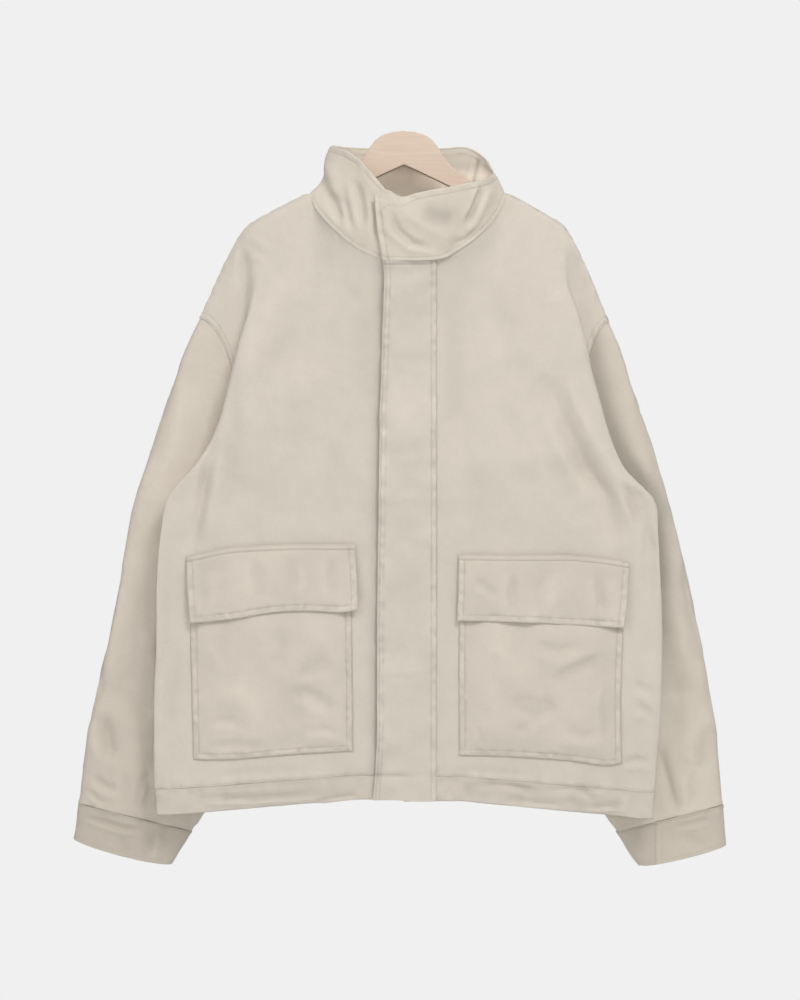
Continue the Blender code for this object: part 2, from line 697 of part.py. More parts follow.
def cut(rows, top, bottom, first, last):
    return [row[first:last + 1] for row in rows[top:bottom + 1]]


def pockets(rows):
    inner, outer = column_index("pocket_in"), column_index("pocket_out")
    top, flap_end, end = row_index("flap_top"), row_index("flap_end"), row_index("pocket_end")
    for side in SIDES:
        panel = rows["front", side][0]
        outer_face = POCKET_GAP + POCKET_CLOTH
        cloth("pocket_" + side, cut(panel, top, end, inner, outer), POCKET_CLOTH, forwards,
              lift=outer_face)
        cloth("flap_" + side, cut(panel, top, flap_end, inner, outer), CLOTH, forwards,
              lift=outer_face + FLAP_GAP + CLOTH)


def fly(rows):
    """The strip over the front opening: sewn on the wearer's left, free at its other edge."""
    last = column_index("fly")
    grid = []
    (right, right_band), (left, left_band) = rows["front", "right"], rows["front", "left"]
    for r, l in zip(right + right_band[1:], left + left_band[1:]):
        line = [p.copy() for p in r[:last + 1][::-1] + l[1:last + 1]]
        for n, point in enumerate(line[:last + 1]):
            point.y -= FLY_LIFT * (1 - n / last)
        grid.append(line)
    cloth("fly", grid, CLOTH, forwards, ("top",), lift=FLY_GAP + CLOTH)


def placed_ring(ring, side, folds=(), middle=None):
    sign = SIDES[side]
    placed = []
    for point in ring:
        forward = -1.0 if middle is None or point.y < middle.y else 1.0
        lift = relief(folds, sign * point.x, point.z) if folds and forward < 0 else 0.0
        placed.append(Vector((sign * point.x, point.y + forward * lift, point.z)))
    return placed


def ring_centre(ring):
    return sum(ring, Vector()) / len(ring)


def away_from(centres):
    """Outward direction of a tube: away from the nearest of its rings' centres."""
    def outward(place):
        near = min(centres, key=lambda c: (c - place).length)
        return place - near
    return outward


def closed_ring(place):
    """Points of a ring, down over the front and back up over the back."""
    front = [place(turn_of(share), True) for share in ARM_SHARES_FRONT]
    back = [place(turn_of(share), False) for share in ARM_SHARES_BACK]
    return front + back[::-1][1:]


def sleeves():
    for side in SIDES:
        rings = []
        for along in SLEEVE_SHARES:
            ring = closed_ring(lambda turn, front: sleeve_point(side, along, turn, front))
            rings.append(placed_ring(ring, side, SLEEVE_FOLDS, ring_centre(ring)))
        cloth("sleeve_" + side, rings, CLOTH, away_from([ring_centre(r) for r in rings]),
              ("top", "bottom"), ring=True)


def cuff_point(side, down, around, front):
    """A point of the cuff: down from its sewn edge, and around like the sleeve."""
    sewn, open_edge = CUFF[side]
    values = [mix(a, b, down) for a, b in zip(sewn[1:], open_edge[1:])]
    outer = Vector((values[0], 12, values[1]))
    inner = Vector((values[2], mix(11, 8, down), values[3]))
    point = outer.lerp(inner, (1 - math.cos(math.pi * around)) / 2)
    bend = math.sin(math.pi * around)
    point.y += (-CUFF_DEPTH if front else CUFF_DEPTH) * bend ** 0.75
    point.z -= values[4] * bend
    return point


def cuffs():
    for side in SIDES:
        rings = []
        for down in CUFF_ROWS:
            ring = closed_ring(lambda turn, front: cuff_point(side, down, turn, front))
            rings.append(placed_ring(ring, side))
        cloth("cuff_" + side, rings, DOUBLE, away_from([ring_centre(r) for r in rings]),
              ("top",), ring=True)


def collar_columns(side, front):
    """Seam and top points of the collar over a panel's columns, from the middle to the shoulder."""
    neck = (NECK_FRONT if front else NECK_BACK)[side]
    tops = COLLAR_TOP[("front_" if front else "back_") + side]
    edge = neck[-1][0] + 0.01
    found = []
    for out in [o for o in panel_columns(side, 0.0, front) if o <= edge]:
        seam = Vector((out, smooth(neck, out, 2), smooth(neck, out, 1)))
        top = Vector((smooth(tops, out, 1), smooth(tops, out, 2), smooth(tops, out, 3)))
        found.append((seam, top))
    return found


def collar_swell(direction, share):
    """How far the collar stands out of a straight line at a share of the way up to its top."""
    even = math.sin(math.pi * share)
    low = math.sin(math.pi * share ** 0.6) ** 3
    ends = COLLAR_SWELL["front" if direction.y < 0 else "back"] * even
    sides = COLLAR_SWELL["left" if direction.x > 0 else "right"] * low
    beside = ease((direction.y + 0.28) / 0.16)
    return ends * direction.y ** 2 + sides * direction.x ** 2 * beside


def collar():
    """The stand collar: one strip round the neck whose left end laps over the right one."""
    strips = []
    for side, front in (("right", True), ("right", False), ("left", False), ("left", True)):
        sign = SIDES[side]
        part = [(Vector((sign * a.x, a.y, a.z)), Vector((sign * b.x, b.y, b.z)))
                for a, b in collar_columns(side, front)]
        inwards = (side == "left") == front
        strips.append(part[::-1] if inwards else part)
    line = strips[0] + strips[1][1:] + strips[2][1:] + strips[3][1:]
    lap = [p.copy() for p in line[-1]]
    ends = []
    for x, top in zip(COLLAR_LAP_X, COLLAR_LAP_TOP):
        ends.append((Vector((x, lap[0].y, lap[0].z)), Vector(top)))
    line += ends
    lap_start = len(line) - len(ends) - 2 * COLLAR_LAP_BLEND
    rows = []
    for r in range(COLLAR_ROWS + 1):
        share = r / COLLAR_ROWS
        row = []
        for n, (seam, top) in enumerate(line):
            point = seam.lerp(top, share)
            direction = (point - Vector((0, -8, point.z))).normalized()
            point += direction * collar_swell(direction, share)
            point.y -= COLLAR_LAP_LIFT * ease((n - lap_start) / (COLLAR_LAP_BLEND + 1))
            point.z += COLLAR_GAP * (1 - share)
            row.append(point)
        rows.append(row)
    centre = Vector((0, -8, -90))
    cloth("collar", rows, DOUBLE, lambda place: (place - centre) * Vector((1, 1, 0)))


def hanger():
    """A flat wooden hanger: a mirrored outline, extruded, with a socket for its hook."""
    outline = HANGER + [(-x, z) for x, z in HANGER[-2:0:-1]]
    curve = bpy.data.curves.new("hanger_outline", "CURVE")
    curve.dimensions = "2D"
    curve.fill_mode = "BOTH"
    spline = curve.splines.new("POLY")
    spline.points.add(len(outline) - 1)
    for point, (x, z) in zip(spline.points, outline):
        point.co = (x / 1000, z / 1000, 0, 1)
    spline.use_cyclic_u = True
    curve.extrude = HANGER_THICK / 2000
    flat = bpy.data.objects.new("hanger_outline", curve)
    bpy.context.scene.collection.objects.link(flat)
    flat.rotation_euler = (math.pi / 2, 0, 0)
    bpy.context.view_layer.update()
    graph = bpy.context.evaluated_depsgraph_get()
    mesh = bpy.data.meshes.new_from_object(flat.evaluated_get(graph))
    mesh.transform(flat.matrix_world)
    bpy.data.objects.remove(flat)
    work = bmesh.new()
    work.from_mesh(mesh)
    bmesh.ops.remove_doubles(work, verts=work.verts, dist=1e-5)
    work.to_mesh(mesh)
    work.free()
    obj = link(bpy.data.objects.new("hanger", mesh))
    mesh.materials.clear()
    mesh.materials.append(material("wood"))
    edge = obj.modifiers.new("rounded", "BEVEL")
    edge.width = HANGER_ROUND / 1000
    edge.segments = 3
    edge.limit_method = "ANGLE"
    edge.angle_limit = math.radians(60)
    socket = bpy.data.meshes.new("hook_socket")
    work = bmesh.new()
    bmesh.ops.create_cone(work, cap_ends=True, segments=12, radius1=HOOK_SOCKET_R / 1000,
                          radius2=HOOK_SOCKET_R / 1000, depth=2 * HOOK_SOCKET_DEEP / 1000)
    work.to_mesh(socket)
    work.free()
    drill = bpy.data.objects.new("hook_socket", socket)
    bpy.data.collections["cutters"].objects.link(drill)
    drill.hide_render = True
    drill.display_type = "WIRE"
    hole = obj.modifiers.new("socket", "BOOLEAN")
    hole.operation = "DIFFERENCE"
    hole.object = drill
    return obj


def build():
    for obj in list(bpy.data.objects):
        bpy.data.objects.remove(obj)
    for name in ("field_jacket", "cutters"):
        bpy.context.scene.collection.children.link(bpy.data.collections.new(name))
    rows = {}
    for side in SIDES:
        rows["front", side] = panel_rows(side, True)
        rows["back", side] = panel_rows(side, False)
    fronts_and_hems(rows)
    back_and_hem(rows)
    pockets(rows)
    fly(rows)
    sleeves()
    cuffs()
    collar()
    make_pieces()
    hanger()


build()
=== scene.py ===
"""The looks of a stand-collar field jacket that hangs on a wooden hanger.

Every piece of cloth is a thin shell on the form of its solid: the same tables give the same
surface, which is then cut finer, creased and sewn. Tables are in millimetres, with "out"
the distance from the middle, z the height and y the depth, the front being negative.
"""

import math
import bmesh
import bpy
import numpy as np
from mathutils import Matrix, Vector
from mathutils.bvhtree import BVHTree


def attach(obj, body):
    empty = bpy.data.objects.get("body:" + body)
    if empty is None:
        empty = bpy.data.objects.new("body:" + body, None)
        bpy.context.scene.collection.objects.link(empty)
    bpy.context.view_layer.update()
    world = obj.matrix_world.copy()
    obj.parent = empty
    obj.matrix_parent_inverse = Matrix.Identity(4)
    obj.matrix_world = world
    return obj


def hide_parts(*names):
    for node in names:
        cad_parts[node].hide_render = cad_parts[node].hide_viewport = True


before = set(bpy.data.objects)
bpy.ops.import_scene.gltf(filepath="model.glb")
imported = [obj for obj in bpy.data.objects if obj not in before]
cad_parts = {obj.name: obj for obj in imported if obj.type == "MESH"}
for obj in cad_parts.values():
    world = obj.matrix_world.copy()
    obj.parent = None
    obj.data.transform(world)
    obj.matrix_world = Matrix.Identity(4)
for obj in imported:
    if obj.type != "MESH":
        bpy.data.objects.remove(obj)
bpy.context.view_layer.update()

# ---------------------------------------------------------------- driving sizes, millimetres
UNDERARM_Z = -470.0
ROLL = 10.0                 # radius of the shoulder's roll over the hanger
SHOULDER_SEAM_TURN = {"right": 0.0, "left": 40.0}   # degrees forward of the ridge
SIDES = {"right": -1.0, "left": 1.0}    # the wearer's side, and the sign of its x

# ---------------------------------------------------------------- tables, millimetres
# Neck seam, front and back, from the centre to the shoulder: out, z, y.
NECK_FRONT = {
    "columns": ("out", "z", "y"),
    "right": [(0, -164, -55), (27, -163, -54), (42, -156, -51), (66, -143, -44),
              (90, -121, -31), (102, -108, -23), (111, -96, -14), (119, -79, 0)],
    "left": [(0, -164, -55), (27, -164, -54), (51, -160, -50), (71, -148, -44),
             (92, -133, -35), (110, -114, -23), (121, -97, -13), (128, -80.3, -6.4)],
}
NECK_BACK = {
    "columns": ("out", "z", "y"),
    "right": [(0, -92, 36), (40, -92, 35), (75, -90, 30), (98, -87, 21), (112, -83, 10),
              (119, -79, 0)],
    "left": [(0, -92, 36), (40, -92, 35), (80, -90, 30), (105, -87, 20), (120, -84, 8),
             (128, -80.3, -6.4)],
}
# The ridge of the shoulder from the neck to the end of the hanger: out, z.
SHOULDER = {
    "columns": ("out", "z"),
    "right": [(119, -79), (140, -87.5), (155, -95), (169, -102.5), (180, -110), (190, -116),
              (198, -122.5)],
    "left": [(128, -78), (143, -84), (156, -91), (170, -99), (182, -107), (192, -115),
             (200, -121)],
}
# The edge of the front where it folds over the sleeve, then the side of the body: z, out.
FOLD = {
    "columns": ("z", "out"),
    "right": [(-122, 208), (-140, 200), (-169, 195), (-200, 197), (-217, 201), (-247, 208),
              (-290, 217), (-345, 230), (-379, 242), (-411, 260), (-442, 284), (-457, 296),
              (-470, 301), (-487, 304), (-526, 309), (-581, 311), (-649, 311), (-717, 314),
              (-786, 314), (-821, 313), (-860, 309)],
    "left": [(-122, 211), (-140, 208), (-165, 208), (-181, 213), (-217, 223), (-251, 230),
             (-275, 234), (-315, 244), (-360, 255), (-405, 270), (-430, 284), (-448, 302),
             (-460, 313), (-470, 317.5), (-500, 319.5), (-536, 321), (-626, 324), (-697, 323),
             (-751, 321), (-805, 316), (-865, 312)],
}
# How far the front lies before the hanger's plane, down its middle: z, y.
FRONT_DEPTH = [(-80, -14), (-165, -30), (-250, -37), (-350, -42), (-470, -46), (-650, -48),
               (-780, -47), (-870, -45)]
BACK_DEPTH = [(-80, 12), (-165, 24), (-250, 29), (-350, 33), (-470, 36), (-650, 38),
              (-870, 36)]
# The side seam, on the back of the body's folded edge: z, out, y.
SIDE_SEAM = {
    "columns": ("z", "out", "y"),
    "right": [(-460, 246, -3), (-467, 248, -9), (-475, 251, -14), (-490, 256, -17),
              (-540, 268, -20), (-600, 277, -21), (-700, 285, -21), (-786, 287, -21),
              (-860, 285, -21)],
    "left": [(-460, 262, -3), (-467, 264, -9), (-475, 267, -14), (-490, 272, -17),
             (-540, 283, -20), (-600, 291, -21), (-700, 295, -21), (-786, 292, -21),
             (-860, 289, -21)],
}
# Low down, the back's sides lie in to just behind that seam, from these distances and heights.
RECESS = {"behind_seam": 3.0, "from_out": 150.0, "to_out": 212.0, "from_z": -370.0,
          "to_z": -462.0}
# Horizontal lines of the body below the underarm: name, heights at the pocket's inner and
# outer edge on each side, and how many rows of faces lead down to it.
BODY_LINES = {
    "columns": ("name", "right_in", "right_out", "left_in", "left_out", "rows"),
    "rows": [("flap_top", -522, -528, -531, -541, 2), ("flap_end", -600, -614, -614, -623, 2),
             ("pocket_end", -777, -784, -783, -792, 4), ("hem_seam", -805, -821, -806, -824, 1),
             ("hem", -835, -853, -837, -857, 1)],
}
# Vertical lines of the front at the neck or shoulder and from the underarm down: out.
FRONT_LINES = {
    "columns": ("name", "top_right", "low_right", "top_left", "low_left", "columns_of_faces"),
    "rows": [("fly", 27, 27, 41, 41, 2), ("pocket_in", 56, 62, 64, 69, 2),
             ("neck_low", 84, 92, 92, 100, 1), ("neck_side", 112.5, 130, 120, 138, 1),
             ("neck", 119, 150, 128, 158, 1), ("pocket_out", None, 266, None, 274, 3),
             ("roll", None, None, None, None, 1)],
}
NECK_MARK = 5               # place of the neck's line among the front's lines, the middle being 0
BACK_NECK = (.38, .68, .88)  # the back's columns under its neck, as shares of the neck's width
BACK_COUNTS = (3, 1)        # and its columns of faces from there to the roll at its side
ROLL_WIDTH = 19.0           # from the front's flat to its folded edge
TOP_ROLL_WIDTH = 9.0        # and at the shoulder
BACK_ROLL_WIDTH = 22.0      # from the back's flat to the armhole
BACK_SIDE_WIDTH = 14.0      # and to the side seam
SHOULDER_END = 190.0        # the last distance at which the shoulder's height is read
BEYOND_POCKETS = 300.0      # a distance past which the body's horizontal lines are level
HANG_DROP = 75.0            # below a seam, cloth nears its full depth over this height
STRIP_FACES = 5             # columns of faces that turn round the fold to the seam
# Rows down the armhole, as shares of its height. The first ones roll over the shoulder.
ROLL_SHARE = .035
BELOW_ROLL = [.08, .15, .24, .34, .45, .56, .67, .77, .86, .94, .98, 1]
ARM_SHARES_FRONT = [0, .009, .018, .027, ROLL_SHARE] + BELOW_ROLL
ARM_SHARES_BACK = [0, .007, .014, .021, .028, ROLL_SHARE] + BELOW_ROLL
# Sleeve: its outer folded edge, its inner one behind the body, and how far it swells.
SLEEVE_OUTER = {
    "columns": ("z", "out"),
    "right": [(-235, 256), (-269, 271), (-306, 284), (-344, 299), (-381, 310), (-419, 322),
              (-456, 332), (-494, 344), (-531, 351), (-606, 365), (-681, 380), (-756, 395),
              (-831, 407), (-843, 408)],
    "left": [(-240, 257), (-269, 269), (-306, 281), (-344, 295), (-381, 307), (-419, 318),
             (-456, 329), (-494, 339), (-531, 348), (-606, 364), (-681, 379), (-756, 391),
             (-831, 399), (-845, 400)],
}
SLEEVE_INNER = {
    "columns": ("share", "out", "z", "y"),
    "rows": [(0, 246, -460, -3), (.04, 252, -463, 1), (.08, 256, -468, 4),
             (.14, 258, -480, 7), (.22, 257, -504, 10), (.32, 254, -537, 12), (.4, 250, -563, 14),
             (.5, 245, -603, 16), (.6, 240, -655, 16), (.7, 236, -714, 16), (.8, 235, -773, 15),
             (.9, 239, -829, 13), (.95, 248, -853, 12), (1, 266, -878, 11)],
}
SLEEVE_DEPTH = {
    "columns": ("share", "outer_y", "front", "back"),
    "rows": [(0, 2, 5, 20), (.04, 4, 5, 21), (.1, 8, 9, 22), (.3, 15, 17, 23), (.5, 15, 21, 22),
             (.7, 15, 22, 22), (.9, 13, 21, 21), (1, 12, 18, 18)],
}
FOLD_RADIUS = 9.0           # the sleeve's outer fold is at least this round
ARMHOLE_BOW = {"right": 43.0, "left": 35.0}     # the armhole curves in toward the middle by this
BOW_REACH = .32                                 # share of the sleeve over which that fades
SLEEVE_SHARES = [0, .03, .07, .13, .22, .32, .42, .52, .62, .72, .82, .91, 1]
# Cuff: outer and inner corners of its sewn edge and of its open edge: out, z.
CUFF = {
    "columns": ("edge", "outer_out", "outer_z", "inner_out", "inner_z", "middle_drop"),
    "right": [("sewn", 409, -845, 270, -881, 0), ("open", 414, -887, 291, -918, 6)],
    "left": [("sewn", 401, -847, 263, -880, 0), ("open", 404, -895, 294, -921, 4)],
}
CUFF_DEPTH = 18.0
# Collar: for points along the neck seam, the place of its top edge.
COLLAR_TOP = {
    "columns": ("seam_out", "out", "y", "z"),
    "front_right": [(0, -4, -52, -88), (27, 20, -50, -78), (42, 32, -47, -65),
                    (60, 45, -41, -50), (79, 58, -33, -36), (96, 72, -22, -26),
                    (111, 84, -12, -21), (119, 91, 0, -19)],
    "front_left": [(0, -4, -54, -86), (27, 21, -53, -80), (51, 45, -49, -75), (74, 65, -43, -71),
                   (95, 85, -34, -66), (112, 101, -22, -61), (121, 109, -12, -57),
                   (128, 112, -2, -53)],
    "back_right": [(0, 0, 35, -22), (40, 37, 34, -22), (75, 68, 30, -21), (98, 84, 21, -20),
                   (112, 91, 10, -19), (119, 91, 0, -19)],
    "back_left": [(0, 0, 35, -22), (40, 38, 34, -22), (80, 76, 31, -21), (105, 96, 22, -28),
                  (120, 107, 10, -43), (128, 112, -2, -53)],
}
COLLAR_LAP_X = [-14.0, -27.0]           # seam points of the overlapping end, past the centre
COLLAR_LAP_TOP = [(-21, -54, -77.5), (-37, -52, -85)]
COLLAR_LAP_LIFT = 4.6                   # it stands this far off the end under it
COLLAR_LAP_BLEND = 3                    # columns over which that starts
COLLAR_ROWS = 5
# How far the collar stands out of a straight line between its seam and its top, by direction.
COLLAR_SWELL = {"front": 4.0, "back": 3.0, "right": -10.0, "left": -1.5}
# Largest folds of the front: from x, z to x, z, half width, and height (ridge + or trough -).
FRONT_FOLDS = [
    ("armpit crease right", -236, -392, -270, -524, 9, -5),
    ("armpit crease left", 176, -315, 264, -508, 16, -8),
    ("second crease left", 285, -450, 311, -530, 10, -4),
    ("chest swell right", -150, -300, -190, -440, 60, 5),
    ("chest swell left", 150, -260, 190, -420, 60, 5),
    ("fly side swell", 62, -330, 66, -700, 20, -3),
    ("hem swell right", -210, -700, -150, -830, 45, 3),
    ("hem swell left", 250, -700, 200, -830, 45, 3),
]
BACK_FOLDS = [
    ("back pleat right", -95, -260, -125, -800, 34, -6),
    ("back pleat left", 100, -280, 118, -800, 34, -6),
    ("back middle", 0, -300, 6, -820, 45, 4),
    ("back armhole right", -150, -330, -226, -430, 18, -5),
    ("back armhole left", 150, -330, 236, -430, 18, -5),
]
SLEEVE_FOLDS = [
    ("elbow right", -395, -690, -320, -735, 18, -5),
    ("elbow left", 330, -700, 392, -716, 18, -5),
    ("cuff pleat right", -318, -800, -332, -848, 7, -4),
    ("cuff pleat left", 322, -780, 342, -852, 7, -4),
    ("upper sleeve right", -300, -420, -350, -560, 16, 3),
    ("upper sleeve left", 300, -420, 345, -560, 16, 3),
]

# ---------------------------------------------------------------- cloth and sewing, millimetres
THICK = {"front": 1.1, "back": 1.1, "hem": 1.5, "pocket": 1.1, "flap": 1.8, "fly": 1.4,
         "sleeve": 1.1, "cuff": 2.0, "collar": 2.2}
STEP = 3.6                  # size of the cells of a cloth wall
BACK_STEP = STEP * 1.15     # and on the back, which has less on it
BAND_STEP = 2.6             # and of bands
PATCH_STEP = 3.0            # and of pockets, flaps, fly and collar
NEAR = (0.6, 1.4, 2.4, 3.4, 5.2, 7.2, 8.4, 9.6, 11.6)   # closer lines beside a sewn edge
EDGE = (0.4, 1.1, 2.0, 3.0, 5.0, 6.8, 8.0, 9.2, 11.4)   # and beside a turned one
ARMHOLE_FREE = -285.0       # above this height the turned strip folds with the rest
FORWARD, BACKWARD = np.array((0, -1.0, 0)), np.array((0, 1.0, 0))
FAR = 200.0                 # past this distance a shade or a fold no longer changes
BEFORE_FRONT = -400.0       # a depth well before the jacket
# Rows of stitching, as distances in from their edge.
ARM_ROWS, HEM_ROWS = (2.4, 8.4), (2.4,)
TOP_ROWS = (1.1, 8.0)       # round pockets, flaps and collar
FLAP_TOP_ROWS = (1.1, 6.8)
CUFF_ROWS = [("top", 2.4), ("bottom", 5.0)]
FLY_ROWS = [("start", 3.0), ("end", 1.1), ("end", 7.4)]
COLLAR_FOOT_ROW = 5.2
COLLAR_ROW_DROP = 15.0      # its top row drops by this towards the end of the lap
PUCKER = 6.5                # length of the puckers along a row
DYE_LINE = 0.8              # half width of the darker line in a row or a fold
EDGE_ROUND = 0.8            # a turned edge rounds away over this
EDGE_DARK = 0.6
THREAD_PITCH = 3.1          # from one stitch to the next
THREAD_START = 0.12         # share of the pitch before a stitch
THREAD_LONG, THREAD_WIDE, THREAD_TALL = 2.3, 0.55, 0.44
THREAD_RISE = 0.1           # how far its middle lies off the cloth
# How far pieces that lie on a front stand off it.
POCKET_LIFT, FLAP_LIFT, FLY_LIFT = 2.2, 5.2, 2.5
FLY_LEAN, FLY_LEAN_WIDE = 4.5, 46.0     # its free edge leans off further, over that width
FLY_FOOT = -804.0           # height of the seam near its foot
FLY_BUMP = (-15.0, -817.0)  # x and z of the bump of what lies under it there
COLLAR_CENTRE = (0, -8.0, -90.0)
CUFF_END = 316.0            # x of the overlapping end of the wearer's left cuff
BACK_SHIFT = 400.0          # a sleeve's back reads the waves this far off, to differ from its front
# Seeds of the waves, which give the same cloth on each run.
SEEDS = {"front": {"right": 100, "left": 200}, "pocket": {"right": 400, "left": 500},
         "sleeve": {"right": 700, "left": 800}}
# Painted shade, as how much darker the colour is made: the shadow on the front beside the free
# edge of the fly, over that width; the lower part of a sleeve; the hollow in the middle of the
# collar's lap; a sleeve in the shadow beside the body's edge, over that width.
FLY_SHADE, FLY_SHADE_WIDE = 0.13, 9.0
LOWER_SHADE = {"right": 0.08, "left": 0.0}
LAP_SHADE = 0.13
HOLLOW_SHADE, HOLLOW_WIDE = {"right": 0.0, "left": 0.30}, 15.0
# Painted light: the collar's inner side is painted paler by this much below a height, and blends
# over a distance: metres.
PAINTED_LIGHT_GAIN, PAINTED_LIGHT_BELOW, PAINTED_LIGHT_BLEND = 1.38, -0.042, 0.012
# Where the body is free to crease and to fold: below a height, fully so that much further down.
CREASE_ROOM, FOLD_ROOM = (-118.0, 50.0), (-128.0, 60.0)
# The slight unevenness of the hung cloth: its size down the body or a sleeve, and its height.
BODY_HANG, SLEEVE_HANG = (76.0, 2.3), (66.0, 2.2)

# Creases: line of x, z places, half width, height (ridge + or trough -), share beside it.
FRONT_CREASES = [
    ([(186, -330), (200, -372), (224, -420), (250, -452), (268, -490)], 9, -3.6, .5),
    ([(270, -436), (282, -462), (294, -500)], 4.5, -3.2, .5),
    ([(-203, -132), (-199, -165), (-200, -200), (-207, -240), (-214, -275)], 8, -5.4, .5),
    ([(209, -132), (218, -172), (226, -207), (235, -246)], 7, -4.0, .45),
    ([(196, -300), (224, -362), (262, -430), (290, -474)], 9, 2.6, .3),
    ([(150, -300), (172, -370), (204, -450), (236, -512)], 12, -2.0, .4),
    ([(-246, -405), (-250, -462), (-262, -534)], 5, -3.2, .5),
    ([(-232, -380), (-236, -450), (-250, -520)], 8, 2.0, .3),
    ([(-214, -300), (-212, -380), (-226, -470)], 12, -2.4, .4),
    ([(300, -484), (302, -530), (300, -575)], 4, -2.4, .6),
    ([(309, -490), (311, -540), (310, -600)], 4, -2.2, .5),
    ([(284, -690), (300, -697), (319, -711)], 6, -2.6, .6),
    ([(284, -716), (302, -724), (320, -742)], 6, -2.4, .6),
    ([(268, -790), (290, -786), (314, -790)], 5, -2.0, .5),
    ([(-188, -120), (-178, -132), (-164, -142)], 6, -2.6, .5),
    ([(-200, -136), (-186, -150), (-168, -158)], 6, -1.8, .5),
    ([(-120, -180), (-150, -260), (-190, -340)], 16, -3.0, .4),
    ([(110, -190), (132, -260), (150, -330)], 15, -2.8, .4),
    ([(58, -200), (64, -280), (60, -380)], 12, -2.0, .4),
    ([(-60, -190), (-52, -270), (-58, -360)], 12, -2.0, .4),
    ([(-84, -380), (-92, -450), (-86, -516)], 13, -1.8, .4),
    ([(96, -400), (90, -460), (98, -520)], 13, -1.8, .4),
    ([(-280, -640), (-290, -700), (-296, -770)], 9, -2.6, .5),
    ([(-300, -560), (-296, -620), (-302, -690)], 7, -2.2, .5),
    ([(60, -800), (110, -800), (160, -806)], 6, -1.6, .5),
    ([(-240, -806), (-180, -800), (-110, -797)], 6, -1.6, .5),
]
HEM_CREASES = [
    ([(-266, -833), (-190, -833), (-80, -827)], 3.5, -3.4, .6),
    ([(-120, -839), (-84, -833), (-52, -829)], 4, -2.6, .5),
    ([(76, -812), (78, -822), (82, -836)], 3, -2.6, .6),
    ([(85, -816), (130, -818), (176, -828)], 4, -3.2, .6),
    ([(170, -826), (204, -822), (238, -825)], 4, -2.8, .6),
    ([(224, -845), (250, -844), (280, -842)], 4, -3.0, .6),
    ([(120, -834), (160, -838), (200, -842)], 4, -2.4, .5),
    ([(222, -824), (230, -831), (242, -838)], 3, -2.2, .5),
]
BACK_CREASES = [
    ([(-206, -300), (-176, -360), (-160, -430), (-158, -520)], 14, -4.4, .5),
    ([(206, -296), (180, -350), (150, -440), (146, -540)], 14, -4.2, .5),
    ([(-60, -150), (-70, -220), (-66, -320)], 16, -3.0, .4),
    ([(50, -150), (64, -240), (58, -340)], 16, -3.2, .4),
    ([(-20, -420), (-28, -560), (-18, -720)], 18, -3.4, .4),
    ([(48, -520), (40, -640), (46, -770)], 15, 2.6, .3),
    ([(-180, -560), (-186, -660), (-176, -780)], 13, -3.2, .5),
    ([(186, -600), (180, -690), (190, -790)], 13, -3.0, .5),
    ([(-100, -700), (-108, -760), (-96, -812)], 9, -2.6, .5),
    ([(110, -300), (118, -400), (106, -500)], 12, -2.4, .5),
    ([(-116, -340), (-110, -430), (-120, -540)], 12, -2.4, .5),
    ([(-200, -760), (-196, -800), (-202, -822)], 6, -2.4, .5),
    ([(140, -770), (146, -800), (140, -822)], 6, -2.2, .5),
]
SLEEVE_FRONT_CREASES = [
    ([(-376, -728), (-372, -760), (-366, -792)], 11, -5.5, .5),
    ([(-330, -540), (-342, -640), (-352, -720)], 15, -3.6, .4),
    ([(-306, -610), (-296, -680), (-300, -760)], 12, -3.4, .5),
    ([(-397, -826), (-386, -836), (-372, -846)], 4, -2.4, .6),
    ([(-392, -806), (-376, -820), (-352, -828)], 6, -2.6, .5),
    ([(-315, -812), (-320, -832), (-327, -850)], 4, -2.8, .6),
    ([(-350, -800), (-346, -826), (-352, -850)], 6, -2.0, .5),
    ([(-290, -300), (-312, -360), (-330, -440)], 12, -2.6, .4),
    ([(-270, -300), (-288, -380), (-300, -450)], 10, 1.8, .4),
    ([(352, -520), (362, -600), (372, -690)], 13, -3.4, .4),
    ([(334, -620), (342, -700), (336, -770)], 12, -3.2, .5),
    ([(385, -742), (376, -770), (372, -812)], 9, -3.2, .5),
    ([(364, -800), (358, -822), (362, -846)], 6, -2.2, .5),
    ([(290, -320), (310, -390), (326, -460)], 12, -2.6, .4),
    ([(306, -470), (316, -540), (322, -600)], 9, -2.2, .5),
]
PLACKET = [([(320, -774), (331, -812), (343, -856)], 1.8, -2.6, 0.0)]    # the sleeve's slit
SLEEVE_BACK_CREASES = [
    ([(-250, -330), (-290, -420), (-330, -520)], 16, -4.0, .4),
    ([(-300, -560), (-330, -640), (-340, -730)], 14, -4.0, .5),
    ([(-370, -640), (-350, -700), (-344, -780)], 12, -3.4, .5),
    ([(-290, -700), (-300, -770), (-320, -830)], 9, -3.4, .5),
    ([(-376, -790), (-360, -812), (-350, -838)], 6, -2.4, .5),
    ([(250, -330), (288, -420), (322, -520)], 16, -4.0, .4),
    ([(300, -580), (322, -650), (330, -740)], 14, -4.0, .5),
    ([(362, -640), (346, -710), (340, -780)], 12, -3.4, .5),
    ([(290, -720), (304, -780), (322, -826)], 9, -3.4, .5),
    ([(370, -780), (356, -808), (350, -836)], 6, -2.4, .5),
]
CUFF_CREASES = [
    ([(-404, -859), (-376, -866), (-349, -874), (-319, -875)], 3.5, -2.4, .5),
    ([(-303, -880), (-311, -900), (-319, -922)], 5, 2.4, .4),
    ([(-360, -880), (-352, -896), (-340, -906)], 7, -1.6, .4),
    ([(331, -872), (364, -867), (386, -862)], 3.5, -2.4, .5),
    ([(352, -880), (366, -892), (384, -898)], 6, -1.4, .4),
]
